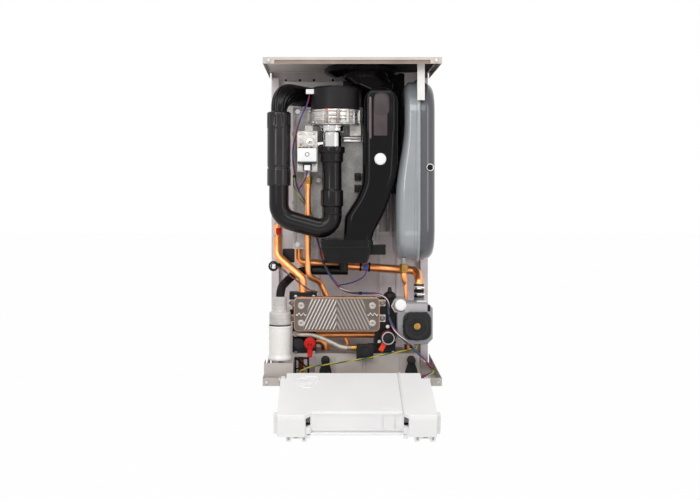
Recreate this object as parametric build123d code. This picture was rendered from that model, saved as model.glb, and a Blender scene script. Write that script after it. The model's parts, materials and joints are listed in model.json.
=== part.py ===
from build123d import *
import math
import os

"""A wall-hung combi boiler with its casing off and its control box hinged down.

The origin is on the wall, at the middle of the two hanging holes. +Z is up, +X is the right-hand
side seen from the room, and the wall is the plane Y = 0. Places are given as x, the distance d in
front of the wall and the height z, so that a point is (x, -d, z). Sizes are in millimetres.
"""

os.makedirs("parts", exist_ok=True)

# Clearances, and how far a cut runs past the face that it opens
run_gap = 0.3          # between two pieces that turn or slide on each other
plug_gap = 0.2         # between a piece and the socket that it is pushed into
past = 1.0

# Sheet-metal frame
frame_width = 440.0
frame_depth = 300.0
sheet = 1.2
plate_top = 48.0
lip_height = 16.0
lip_band = 7.0
strip_width = 383.0
strip_setback = 5.0
floor_bottom = -759.0
tray_lip = 20.0
cheek_rise = 12.0
panel_width = 428.0
rail_width = 20.0
rail_depth = 22.0
rib_radius = 7.0
rib_height = 4.0
rib_places = (-137.0, -87.0, -18.0, 84.0, 132.0)
rib_ends = (-690.0, -30.0)
hang_spacing = 300.0
hang_hole = 5.5
screw_radius = 2.1
screw_head = 4.6
screw_head_height = 3.2
screw_length = 10.0
tray_screw_inset = 9.5
door_nut_radius = 7.0
door_nut_height = 6.0
door_nut_inset = 12.0

# Siphon stand and pipe rail, both folded from the tray
stand_left = -frame_width / 2 + 2
stand_right = -146.0
stand_front = frame_depth - 19
stand_top = -706.0
rail_top = -691.0
rail_front = 225.0
rail_back = 112.0
rail_ends = (-142.0, 172.0)
rail_windows = ((-138.0, -92.0), (-36.0, 24.0), (40.0, 116.0))
window_height = 40.0
window_drop = 8.0

# Carriers on the back panel: hat bracket, vessel bracket, strap and tie rod
hat_x = (-176.0, 0.0)
hat_z = (-24.0, 20.0)
hat_foot = 12.0
hat_thick = 1.5
hat_holes = (-150.0, -116.0, -82.0, -40.0)
hat_hole_z = 4.0
hat_hole = 4.0
seat_half = 18.0
seat_z = (-380.0, -90.0)
seat_pad = 60.0
seat_thick = 3.0
rod_x = 102.0
rod_d = 60.0
rod_z = (-400.0, -288.0)
rod_radius = 4.0
clamp_half = 8.0

# Pipes through the floor: place along x, outer radius
tail_depth = 150.0
tail_bottom = -790.0
small_pipe = 7.5
large_pipe = 11.0
pipe_wall = 1.0
hot_water_x = -130.0
heating_flow_x = -66.0
gas_x = -8.0
cold_water_x = 78.0
heating_return_x = 150.0
hole_margin = 2.5
grommet_z = (floor_bottom - 4, floor_bottom + 2)
grommet_grip = 0.1

# Heat cell
cell_left = -150.0
cell_right = 72.0
cell_bottom = -430.0
cell_top = -62.0
cell_back = 26.0
cell_front = 150.0
cell_wall = 3.0
foot_places = ((-112.0, 40.0), (-400.0, -100.0))
foot_half = 10.0
cell_ribs = (-370.0, -310.0, -190.0, -130.0)
cell_rib_half = 4.0
cell_rib_proud = 3.0
cell_rib_setback = 6.0
door_thick = 6.0
door_face = cell_front + door_thick
door_rail_x = (-22.0, 27.0)
door_rail_z = -152.0
door_rail_height = 13.0
door_rail_proud = 8.0
door_stud = (-84.0, -252.0)
door_stud_radius = 6.0
door_stud_length = 16.0
door_lugs_x = (10.0, 25.0)
door_lugs_z = (-282.0, -252.0)
door_lug_height = 18.0
door_lug_proud = 12.0
burner_x = -39.0
burner_z = -290.0
burner_radius = 38.0
burner_length = 88.0
burner_wall = 2.0
burner_flange = 14.0
burner_flange_thick = 4.0
coil_outer = 98.0
coil_inner = 66.0
coil_turns = 6
coil_pitch = 17.0
coil_round = 3.0

# Fan and venturi: the fan stands clear of the door
fan_x = -42.0
fan_radius = 62.0
fan_door_gap = 2.0
fan_d = door_face + fan_radius + fan_door_gap
fan_top = -17.5
fan_seam = -77.0
fan_base = -114.0
fan_wall = 3.0
fan_rim = 6.0
fan_edge = 1.5
stator_radius = 28.0
casting_radius = fan_radius - 3
casting_floor = 4.0
casting_ledge = 5.0
casting_offset = 10.0
casting_screws = range(15, 375, 45)
casting_screw_radius = 5.0
outlet_x = (-4.0, 24.0)
outlet_front = fan_d - 14
saddle_x = (-30.0, 24.0)
saddle_front = fan_d - 20
saddle_height = 12.0
volute_bore = 50.0
impeller_radius = 44.0
impeller_height = 22.0
impeller_gap = 3.0
impeller_plate = 2.0
impeller_hub = 11.0
blade_count = 12
blade_start = 14.0
blade_thick = 1.6
blade_offset = 4.0
shaft_radius = 5.0
venturi_x = -49.5
venturi_radius = 25.0
venturi_bore = 20.0
venturi_ring = 34.0
venturi_ring_height = 17.0
venturi_groove = 3.0
venturi_bottom = -180.0
gas_port_d = fan_d - 8
gas_port_z = -160.0
gas_port_radius = 8.0

# Air path: mixing pipe, U pipe, silencer and elbow
mixer_top = -168.0
mixer_bottom = -340.0
mixer_radius = 25.0
mixer_bore = 21.5
mixer_collar = 33.0
mixer_collar_height = 14.0
mixer_sleeve = 29.0
mixer_sleeve_ends = (-188.0, -206.0)
mixer_ring_ends = (-279.0, -318.0)
mixer_slope = 3.0
silencer_lip = 0.5
u_pipe_right_low = mixer_bottom - 44
u_pipe_left_low = -347.0
u_pipe_right_bend = 32.0
u_pipe_left_bend = 44.0
air_wall = 3.0
silencer_x = -184.0
silencer_top = -80.0
silencer_bottom = -267.0
silencer_radius = 29.5
silencer_foot_top = -224.0
silencer_groove = 1.5
silencer_groove_top = -218.0
silencer_collar_z = -121.0
silencer_floor = 8.0
elbow_radius = 26.0
elbow_z = -33.0
elbow_d = 98.0
elbow_corner_x = -92.0
elbow_rise_bend = 40.0
elbow_back_bend = 60.0

# Flue socket on the top plate, and the collector under it
flue_x = 29.0
flue_d = 125.0
flue_outer_bore = 50.5
flue_inner_bore = 30.0
flue_wall = 2.0
socket_height = 18.0
socket_ledge = 3.5
flange_radius = 70.0
flange_thick = 3.0
inner_drop = 10.0
fin_half = 1.0
duct_wall = 2.5
dish_radius = 98.0
dish_rim = (30.0, 40.0)
dish_shoulder = 90.0
dish_slope_top = 24.0
dish_foot = 70.0
dish_floor = 16.0
air_box_x = (-20.0, 28.0)
air_box_d = (66.0, 130.0)
air_box_z = (-60.0, 22.0)

# Flue duct, from the collector's neck down to the condensate sump
duct_back = door_face + 8
duct_top = -24.0
duct_top_x = (40.0, 106.0)
duct_top_front = 232.0
duct_x = (28.0, 118.0)
duct_front = 252.0
duct_corner = 18.0
duct_runs = ((-150.0, 28.0, 118.0), (-240.0, 28.0, 114.0), (-262.0, 27.0, 106.0), (-300.0, 12.0, 96.0),
             (-344.0, -17.0, 78.0), (-384.0, -19.0, 56.0))
arch_spring = -61.0
arch_front = 250.0
arch_round = 16.0
panel_x = (52.0, 97.0)
panel_z = (-152.0, -36.0)
panel_proud = 4.0
panel_round = 2.0
cap_x = 71.0
cap_z = -200.5
cap_radius = 15.0
cap_stem = 8.0
cap_boss = 3.0
cap_seat = 254.0
cap_front = 260.0
cap_back = 241.0
sump_seam = -402.0
sump_bottom = -461.0
sump_ring = 24.0
sump_x = (-78.0, 52.0)
sump_foot_x = (-66.0, 40.0)
sump_foot_d = (176.0, 244.0)
sump_rim = 2.0
sump_rim_ends = (3.0, 12.0)
sump_corner = 16.0
mouth_x = (-19.0, 52.0)
mouth_front = 248.0
sump_lug_x = (46.0, 86.0)
sump_lug_d = (196.0, 232.0)
sump_lug_z = (-441.0, -416.0)

# Condensate drain, from the sump to the siphon
drain_radius = 11.0
drain_bore = 8.5
drain_d = 156.0
drain_z = -485.0
drain_end_x = -100.0
drain_start_x = -8.0
drain_wall = 1.5
spout_x = -20.0
spout_d = drain_d + 12

# Gas valve and gas pipe, both behind the venturi's front
valve_left = -138.0
valve_right = -86.0
valve_top = -128.0
valve_bottom = -232.0
valve_back = fan_d - 42
valve_front = fan_d + 2
valve_step = 6.0
valve_cover_bottom = -172.0
valve_round = 2.0
valve_post_x = (-118.0, -98.0)
valve_post_d = (fan_d - 24, fan_d - 6)
valve_knobs = ((-102.0, -156.0, 10.0, 7.0), (-128.0, -154.0, 6.0, 6.0))
valve_screw_inset = 8.0
valve_screw_z = (valve_top - 7, valve_bottom + 9)
valve_screw_radius = 4.5
valve_screw_proud = 3.0
valve_spigot_radius = 9.0
valve_spigot_end = -243.0
actuator_z = (-209.0, valve_cover_bottom)
actuator_depth = 20.0
actuator_round = 3.0
actuator_cap_z = -188.0
actuator_cap_radius = 7.0
actuator_plug_x = (-122.0, -102.0)
actuator_plug_proud = 8.0
gas_run_x = -111.0
gas_run_d = fan_d - 33
gas_bend_z = -498.0
gas_offset = (-80.0, -517.0)
gas_drop_z = -676.0
gas_bends = (22.0, 26.0, 40.0)

# Expansion vessel
vessel_left = 112.0
vessel_right = 211.0
vessel_back = 30.0
vessel_front = 250.0
vessel_bottom = -461.0
vessel_top = 4.0
vessel_top_left = 134.0
vessel_waist = -290.0
vessel_shoulder = -110.0
vessel_corner = 85.0
vessel_round = 28.0
vessel_wall = 1.5
vessel_seam_x = 168.0
seam_band = 8.0
seam_proud = 2.5
vessel_port_x = 134.0
vessel_port_d = 200.0
vessel_port_radius = 6.0
vessel_port_length = 5.0
vessel_port_depth = 12.0
vessel_valve_x = 196.0
vessel_valve_z = -221.0
vessel_valve_radius = 6.5
vessel_valve_proud = 7.0
vessel_valve_depth = 18.0
diaphragm_half = 1.5
diaphragm_bulge = 16.0
diaphragm_bulge_half = (50.0, 150.0)
diaphragm_skin = 3.0
strap_x = 173.0
strap_width = 18.5
strap_drop = -53.0
strap_thick = 2.0
strap_fold = 30.0

# Copper pipes, their nuts and the sensors on them
flow_start = (128.0, -352.0)
flow_corner_x = -190.0
flow_low = (176.0, -447.0)
flow_end = (-125.0, 198.0, -503.0)
flow_bends = (20.0, 30.0, 14.0)
return_x = (-137.0, 177.0)
return_d = 110.0
return_z = (-468.0, -490.0)
return_front = 155.0
return_end = -556.0
return_drop_z = -512.0
return_bends = (16.0, 20.0, 12.0)
feed_x = vessel_port_x
feed_d = vessel_port_d
feed_nut = (-487.0, -467.0)
feed_radius = 5.0
feed_bend_z = -500.0
feed_end_z = -520.0
feed_step = (5.0, -6.0)
feed_bends = (18.0, 20.0)
feed_nut_radius = 10.5
gas_nut = (-262.0, valve_spigot_end - plug_gap)
gas_nut_radius = 11.0
gas_foot_nut = (-752.0, -738.0)
gas_foot_nut_radius = 12.0
flow_tail_z = -668.0
flow_tail_bend = 18.0
link_d = 178.0
link_z = -650.0
link_radius = 8.0
flow_sensor = (flow_corner_x, 149.0, -384.0)
return_sensor = (38.0, return_d, -479.7)
sensor_x = (-6.0, 8.0)
sensor_half = 6.5
sensor_thick = 10.0
pressure_x = (-178.0, -147.0)
pressure_d = (130.0, cell_front)
pressure_bottom = -466.0
pressure_stem_x = (-196.0, -174.0)
pressure_stem_d = 145.0
pressure_stem_z = -462.0
pressure_stem_radius = 8.0
pressure_ring_x = -201.0
pressure_ring_z = -474.0
pressure_ring_d = (150.0, 156.0, 172.0)
pressure_ring_radius = 13.0
pressure_ring_bore = 9.0

# Plate heat exchanger
plates_left = -145.0
plates_right = 70.0
plates_bottom = -632.0
plates_top = -547.0
plates_back = 212.0
plates_front = 252.0
plate_corner = 12.0
pack_grooves = 8
pack_groove = 1.4
pack_groove_pitch = 4.0
plate_ears_z = ((-572.0, -556.0), (-612.0, -594.0))
plate_ear_left = 13.0
plate_ear_right = 16.0
plate_ear_root = 6.0
front_plate = 3.0
port_inset_x = 18.0
port_inset_z = 20.0
chevron_pitch = 9.3
chevron_angle = 62.0
chevron_height = 1.4
rib_width = 4.4
rib_margin = 4.0
rib_split = 2.0
port_radius = 8.5
port_height = 3.0
port_dimple = 3.0
port_dimple_depth = 2.0

# Hydraulic blocks
block_front = plates_back
block_back = 130.0
left_block = (-150.0, -90.0)
right_block = (60.0, 112.0)
left_block_top = -538.0
left_shoulder_z = -556.0
left_shoulder_x = (-158.0, -88.0)
left_shoulder_back = 178.0
left_crown_x = (left_block[0] + 4, -104.0)
left_port = (-133.0, -664.0)
left_port_front = 240.0
left_port_radius = 13.0
left_boss = (165.0, -600.0)
left_boss_radius = 14.0
right_block_top = -558.0
dome_x = 100.0
dome_d = 170.0
dome_radius = 18.0
dome_wall = 6.0
dome_cone = (14.0, 14.0)
dome_neck = (6.0, 19.0)
dome_tip = (4.0, 30.0)
dome_reach = 119.0
relief_x = 91.0
relief_z = -648.5
relief_radius = 20.0
relief_neck = 13.0
relief_face = 236.0
relief_lever_back = 238.0
relief_lever_front = 245.5
relief_neck_front = 250.0
relief_head = 16.7
relief_head_front = 255.0
relief_bore = 12.0
relief_bore_depth = 4.0
relief_lever_radius = 17.0
relief_tab_half = 5.5
relief_tab = (15.0, 39.0)
relief_tab_angle = 30.0
stud_radius = 5.0
stud_front = 230.0
stud_rise = 26.0
side_stud = (70.0, -661.0)
fill_d = 238.0
fill_z = -675.0
fill_valve_x = (12.0, 54.0)
fill_valve_d = (rail_front + 2, 250.0)
fill_valve_z = (-700.0, -666.0)
fill_arm_x = (40.0, 56.0, 62.0)
fill_arm_back = 205.0
fill_arm_z = (-688.0, -668.0)
fill_cap_z = -683.0
fill_cap_front = 256.0
fill_cap_radius = 12.0
ferrule_start = -2.0
ferrule_wall = 1.5
lever_x = -105.0
lever_z = -661.0
lever_radius = 15.0
lever_length = 35.0
lever_width = 12.5
lever_seat = 234.0
lever_seat_radius = 9.0
lever_depth = 12.0
lever_back = 250.0
lever_front = 262.0
lever_edge = 1.5
lever_dimple = 5.0
tap_hub = 11.0
tap_hub_d = (230.0, 248.0)
tap_grip_d = (234.0, 246.0)
tap_shaft_end = 240.0
tap_grip_half = (9.0, 16.0)
tap_grip_length = 32.0
tap_z = -706.0
tap_x = (heating_flow_x, heating_return_x)

# Pump
pump_x = 162.5
pump_z = -619.0
pump_face = 35.0
pump_left = 114.0
pump_right = 203.0
pump_top = -560.0
pump_bottom = -665.0
pump_back = 190.0
pump_front = 248.0
pump_chamfer = 14.0
pump_round = 3.0
pump_wall = 3.0
volute_radius = 42.0
volute_back = 125.0
volute_room = 32.0
pump_inlet_low = -586.0
pump_inlet_radius = 13.0
pump_link_x = (right_block[1], 130.0)
pump_link_d = (140.0, 180.0)
pump_link_z = (-640.0, -600.0)
pump_feed_low = -590.0
pump_feed_radius = 8.0
vent_seat_radius = 19.0
rotor_bore = 22.0
vent_x = 123.0
vent_z = -566.5
vent_radius = 15.0
vent_seat = 235.0
vent_back = 216.0
vent_front = 252.0
vent_stem = 6.0
vent_edge = 2.0
cover_plate = 6.0
cover_thick = 11.0
cover_recess = 22.0
cover_recess_depth = 3.0
cover_box_x = (-20.0, 26.0)
cover_box_z = (8.0, 36.0)
plug_z = pump_z + 2
plug_boss = 12.0
plug_boss_front = 10.0
plug_radius = 8.0
plug_d = (9.0, 18.0)
plug_seat_d = (8.8, 12.0)
plug_slot = (7.0, 1.0, 1.5)
wheel_radius = 29.0
wheel_d = (6.0, 9.0)
vane_count = 6
vane_reach = (4.0, 28.0)
vane_half = 1.0
vane_height = 12.0
vane_start = 8.0
rotor_gap = 2.0
rotor_ends = (6.0, 8.0)

# Condensate siphon and hoses
siphon_x = -180.0
siphon_d = 240.0
siphon_neck = 17.5
siphon_cap = 27.5
siphon_radius = 28.0
siphon_top = -545.0
siphon_cap_top = -584.0
siphon_joint = -616.0
siphon_foot = -703.0
siphon_socket = 12.0
siphon_lip = 4.0
siphon_wall = 3.0
siphon_skirt = 16.0
cup_wall = 2.5
cup_gap = 1.5
cup_foot = 3.0
cup_band = 1.0
filling_radius = 6.0

# Wires
loom_radius = 4.0
wire_radius = 1.6
earth_radius = 2.2
fan_plug_x = (-115.0, -92.0)
fan_plug_d = (236.0, 250.0)
fan_plug_z = (-37.0, -25.0)
valve_plug_x = (-119.0, -105.0)
valve_plug_z = (-228.0, -214.0)
valve_plug_depth = 8.0
flow_plug_x = (-204.0, -195.0)
flow_plug_d = (pressure_ring_d[1] + run_gap, 176.0)
flow_plug_z = (-479.0, -469.0)

# Control box, in its own frame: x, the reach u from the hinge and the height w above the hinge
hinge_d = frame_depth + 5
hinge_z = -742.0
hinge_tilt = 17.0
trunnion = 4.0
trunnion_reach = 6.0
ear_thick = 3.0
ear_radius = 9.0
ear_gap = 0.5
ear_base = (17.0, 7.0)
box_left = -frame_width / 2 + 46
box_right = frame_width / 2 - 35
box_start = 36.0
box_middle = 197.0
box_reach = 214.0
box_floor = -32.0
box_rim = 12.0
box_top = 22.0
box_wall = 2.5
box_edge = 2.0
lid_edge = 1.5
back_left = box_left + 14
back_right = box_right - 20
back_start = 8.0
left_lobe = box_left + 61
right_lobe = box_right - 61
lobe_slant = 16.0
arm_width = 10.0
arm_radius = 8.0
arm_notch = 1.5
side_hook = 9.0
side_hook_u = (box_reach - 34, box_reach - 28, box_reach - 14)
side_hook_drop = 6.0
latch_width = 47.0
latch_inset = (19.0, 2.0)
latch_u = (box_reach - 20, box_reach - 6)
latch_low = -48.0
latch_catch = 8.0
vent_height = (-10.0, box_rim)
vent_margin = 3.0
corner_block_top = -12.0
board_x = (box_left + 34, box_right - 35)
board_u = (30.0, 172.0)
board_level = -12.0
board_thick = 1.6
board_posts = ((board_x[0] + 20, board_x[1] - 20), (42.0, 160.0))
board_post_radius = 5.0
components = ((-120, -70, 60, 100, 22), (-50, -20, 50, 90, 16), (0, 18, 50, 66, 15),
              (24, 42, 50, 66, 15), (60, 120, 60, 84, 12), (-100, 100, 150, 164, 11),
              (70, 110, 100, 130, 4), (-60, 20, 110, 140, 3))
lid_ribs = ((-135, -88, 30, 34), (-112, -88, 34, 62))
lid_rib_height = 1.2
lid_pad = (60, 98, 150, 180)
lid_pad_height = 0.8
lid_sink = 1.0
lid_groove = 6.0
lid_groove_depth = 1.2
cable_slot = (10.0, 19.0)
cable_slot_drop = 4.0
knob_x = (-90.0, 100.0)
knob_u = 110.0
knob_radius = 17.0
knob_height = 16.0
knob_shaft = 3.0
knob_edge = 2.0
knob_line = 1.0
knob_collar = 7.0
knob_collar_gap = 5.0
window_size = (78.0, 42.0)
window_x = 5.0
window_u = 118.0
window_rim = 3.0
button_x = (-20.0, 20.0)
button_u = 70.0
button_radius = 6.0
button_rim = 2.0
button_proud = 2.5
button_travel = 1.5

parts = {}


# ---------------------------------------------------------------- helpers
def at(x, d, z):
    """Give the point at x, the distance d in front of the wall, and the height z."""
    return Vector(x, -d, z)


def block(x, d, z):
    """Make a box between two places along each of x, the distance from the wall and the height."""
    middle = at(sum(x) / 2, sum(d) / 2, sum(z) / 2)
    return Pos(middle) * Box(x[1] - x[0], d[1] - d[0], z[1] - z[0])


def soft_block(x, d, z, radius):
    """Make a box like block with all its edges rounded."""
    shape = block(x, d, z)
    return fillet(shape.edges(), radius)


def around(middle, half):
    """Give the two places that lie half to either side of a middle."""
    return (middle - half, middle + half)


def upright(x, d, z, radius):
    """Make a vertical cylinder between two heights."""
    return Pos(at(x, d, sum(z) / 2)) * Cylinder(radius, z[1] - z[0])


def across(x, d, z, radius):
    """Make a cylinder along x between two places."""
    return Pos(at(sum(x) / 2, d, z)) * Rot(0, 90, 0) * Cylinder(radius, x[1] - x[0])


def forward(x, d, z, radius):
    """Make a cylinder that points into the room between two distances from the wall."""
    return Pos(at(x, sum(d) / 2, z)) * Rot(90, 0, 0) * Cylinder(radius, d[1] - d[0])


def turned(profile, x, d):
    """Turn an outline of (radius, height) points about a vertical axis."""
    points = [(radius, 0, z) for radius, z in profile]
    face = make_face(Polyline(*points, close=True))
    return Pos(at(x, d, 0)) * revolve(face, Axis.Z)


def turned_forward(profile, x, z):
    """Turn an outline of (radius, distance from the wall) points about an axis into the room."""
    points = [(radius, -d, 0) for radius, d in profile]
    face = make_face(Polyline(*points, close=True))
    return Pos(x, 0, z) * revolve(face, Axis.Y)


def tube(points, radii, outer, bore=0.0):
    """Sweep a round section along straight runs joined by arcs of the given radii."""
    path = FilletPolyline(*points, radius=radii) if radii else Polyline(*points)
    section = Plane(origin=path @ 0, z_dir=path % 0) * Circle(outer)
    solid = sweep(section, path=path)
    if bore:
        section = Plane(origin=path @ 0, z_dir=path % 0) * Circle(bore)
        solid -= sweep(section, path=path)
    return solid


def wire(name, points, outer):
    """Make a wire or hose whose arcs are as large as its runs allow, and print them."""
    radii = []
    for before, corner, after in zip(points, points[1:], points[2:]):
        turn = math.radians((corner - before).get_angle(after - corner))
        shorter = min((corner - before).length, (after - corner).length)
        radii.append(0.45 * shorter / math.tan(turn / 2))
    solid = tube(points, radii, outer)
    path = FilletPolyline(*points, radius=radii)
    ideal = math.pi * outer ** 2 * path.length
    print(name, "length", round(path.length, 1), "radii", [round(r, 1) for r in radii],
          "volume share", round(solid.volume / ideal, 4))
    return solid


def duct(sections, wall=0.0):
    """Loft rounded rectangles (z, x0, x1, d0, d1, corner), each drawn in by the wall."""
    faces = []
    for z, x0, x1, d0, d1, corner in sections:
        width = x1 - x0 - 2 * wall
        depth = d1 - d0 - 2 * wall
        place = Plane(origin=at((x0 + x1) / 2, (d0 + d1) / 2, z))
        faces.append(place * RectangleRounded(width, depth, corner - wall))
    return loft(faces, ruled=True)


def add(name, shape):
    """Keep a finished piece under its name."""
    parts[name] = shape


# ---------------------------------------------------------------- frame
def make_top_plate():
    """Build the folded top plate with its front lip, recessed strip and screw tabs."""
    half = frame_width / 2
    under = plate_top - sheet
    lip = plate_top - lip_height
    band = plate_top - lip_band
    face = (frame_depth - sheet, frame_depth)
    back = frame_depth - strip_setback
    plate = block((-half, half), (0, frame_depth), (under, plate_top))
    for side in (-1, 1):
        x = sorted((side * half, side * (half - sheet)))
        plate += block(x, (0, frame_depth), (lip, under))
        tab = sorted((side * half, side * strip_width / 2))
        plate += block(tab, face, (lip, band))
    plate += block((-half, half), face, (band, under))
    strip = (-strip_width / 2, strip_width / 2)
    plate += block(strip, (back, frame_depth), (band, band + sheet))
    plate += block(strip, (back, back + sheet), (lip, band))
    plate -= upright(flue_x, flue_d, (under, plate_top), flue_outer_bore)
    for x, z in top_screw_places():
        plate -= forward(x, face, z, screw_radius + run_gap)
    return plate


def top_screw_places():
    """List the screws in the tabs at the two ends of the top lip."""
    x = (frame_width + strip_width) / 4
    z = plate_top - lip_height / 2
    return [(-x, z), (x, z)]


def tray_screw_places():
    """List the screws at the two ends of the tray's front lip."""
    x = frame_width / 2 - tray_screw_inset
    z = floor_bottom + tray_lip / 2
    return [(-x, z), (x, z)]


def make_back_panel():
    """Build the back panel with pressed ribs, folded side rails, a top fold and hanging holes."""
    half = panel_width / 2
    low = floor_bottom + sheet
    high = plate_top - sheet
    panel = block((-half, half), (0, sheet), (low, high))
    panel += block((-half, half), (sheet, rail_width), (high - sheet, high))
    for side in (-1, 1):
        wall = sorted((side * half, side * (half - sheet)))
        fold = sorted((side * half, side * (half - rail_width)))
        panel += block(wall, (sheet, rail_depth), (low, high - sheet))
        panel += block(fold, (rail_depth - sheet, rail_depth), (low, high - lip_height))
    for x in rib_places:
        rib = upright(x, sheet + rib_height - rib_radius, rib_ends, rib_radius)
        panel += rib & block(around(x, rib_radius), (sheet, sheet + rib_height), rib_ends)
    for side in (-1, 1):
        panel -= forward(side * hang_spacing / 2, (0, sheet), 0, hang_hole)
    return panel


def hinge_ear(x):
    """Make one ear that carries a trunnion of the control box."""
    behind, ahead = ear_base
    base = block(x, (hinge_d - behind, hinge_d + ahead), (floor_bottom + sheet, hinge_z))
    ear = base + across(x, hinge_d, hinge_z, ear_radius)
    return ear - across(x, hinge_d, hinge_z, trunnion + run_gap)


def make_bottom_tray():
    """Build the tray: floor, cheeks, lip, hinge ears, siphon stand and pipe rail, all one folding."""
    half = frame_width / 2
    floor = floor_bottom + sheet
    lip = floor_bottom + tray_lip
    tray = block((-half, half), (0, frame_depth), (floor_bottom, floor))
    tray += block((-half, half), (frame_depth - sheet, frame_depth), (floor, lip))
    outline = [(0, 0, floor), (0, -frame_depth, floor), (0, -frame_depth, lip),
               (0, -frame_depth + tray_lip, lip), (0, 0, lip + cheek_rise)]
    cheek = extrude(make_face(Polyline(*outline, close=True)), amount=sheet, dir=(1, 0, 0))
    tray += Pos(-half, 0, 0) * cheek
    tray += Pos(half - sheet, 0, 0) * cheek
    tray += hinge_ear((box_left - ear_gap - ear_thick, box_left - ear_gap))
    tray += hinge_ear((box_right + ear_gap, box_right + ear_gap + ear_thick))
    tray += make_stand(floor) + make_rail(floor)
    for x, radius in tail_list():
        hole = radius + hole_margin
        tray -= upright(x, tail_depth, (floor_bottom, floor), hole)
        tray -= upright(x, tail_depth, (rail_top - sheet, rail_top), hole)
    for x0, x1 in ((box_left, box_left + arm_width), (box_right - arm_width, box_right)):
        notch = (x0 - ear_gap, x1 + ear_gap)
        notch_low = hinge_z - arm_radius - arm_notch
        tray -= block(notch, (frame_depth - sheet - past, frame_depth), (notch_low, lip))
    for x, z in tray_screw_places():
        tray -= forward(x, (frame_depth - sheet, frame_depth), z, screw_radius + run_gap)
    return tray


def make_stand(floor):
    """Make the stand under the siphon: a front wall and two side walls."""
    side_d = (rail_front, stand_front - sheet)
    stand = block((stand_left, stand_right), (stand_front - sheet, stand_front), (floor, stand_top))
    stand += block((stand_right - sheet, stand_right), side_d, (floor, stand_top))
    stand += block((stand_left, stand_left + sheet), side_d, (floor, stand_top))
    return stand


def make_rail(floor):
    """Make the pipe rail: a shelf with end walls and a front wall with windows and tap holes."""
    left, right = rail_ends
    under = rail_top - sheet
    front = (rail_front - sheet, rail_front)
    end_d = (rail_back, rail_front - sheet)
    rail = block(rail_ends, (rail_back, rail_front), (under, rail_top))
    rail += block(rail_ends, front, (floor, under))
    rail += block((left, left + sheet), end_d, (floor, under))
    rail += block((right - sheet, right), end_d, (floor, under))
    for x in tap_x:
        rail -= forward(x, front, tap_z, shaft_radius + 2 * run_gap)
    window_top = rail_top - window_drop
    for window in rail_windows:
        rail -= block(window, front, (window_top - window_height, window_top))
    return rail


def tail_list():
    """List the pipes that pass the floor, as place and outer radius."""
    return [(hot_water_x, small_pipe), (heating_flow_x, large_pipe), (gas_x, small_pipe),
            (cold_water_x, small_pipe), (heating_return_x, large_pipe)]


def make_brackets():
    """Build the carriers on the back panel: hat bracket, vessel bracket, vessel strap and tie rod."""
    left, right = hat_x
    hat_d = sheet + rail_depth
    hat = block(hat_x, (hat_d, hat_d + hat_thick), hat_z)
    for foot in ((left, left + hat_foot), (right - hat_foot, right)):
        hat += block(foot, (sheet, hat_d), hat_z)
    for x in hat_holes:
        hat -= forward(x, (sheet, frame_depth), hat_hole_z, hat_hole)
    span = around(vessel_seam_x, seat_half)
    seat_front = vessel_back - seam_proud - run_gap
    low, high = seat_z
    seat = block(span, (sheet + rib_height, sheet + rib_height + seat_thick), seat_z)
    for pad in ((high - seat_pad, high), (low, low + seat_pad)):
        seat += block(span, (sheet, seat_front), pad)
    across_strap = around(strap_x, strap_width / 2)
    face = vessel_front + seam_proud + run_gap
    under = plate_top - sheet
    strap = block(across_strap, (face, face + strap_thick), (strap_drop, under))
    strap += block(across_strap, (face - strap_fold, face), (under - strap_thick, under))
    rod = upright(rod_x, rod_d, rod_z, rod_radius)
    for z in (rod_z[0] + clamp_half, rod_z[1] - clamp_half):
        clamp_x = (cell_right, rod_x + rod_radius)
        rod += block(clamp_x, around(rod_d, clamp_half), around(z, rod_radius))
    return Compound(children=[hat, seat, strap, rod])


def hexagon(x, d, z, radius, height):
    """Make a hexagonal head that stands into the room from the distance d."""
    return Pos(at(x, d, z)) * Rot(90, 0, 0) * extrude(RegularPolygon(radius, 6), height)


def make_screws():
    """Build the frame's screws, and the nuts on the corners of the heat cell's door."""
    screws = []
    for x, z in top_screw_places() + tray_screw_places():
        shank = forward(x, (frame_depth - screw_length, frame_depth), z, screw_radius)
        screws.append(shank + hexagon(x, frame_depth, z, screw_head, screw_head_height))
    for x in (cell_left + door_nut_inset, cell_right - door_nut_inset):
        for z in (cell_bottom + door_nut_inset, cell_top - door_nut_inset):
            screws.append(hexagon(x, door_face, z, door_nut_radius, door_nut_height))
    return Compound(children=screws)


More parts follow.
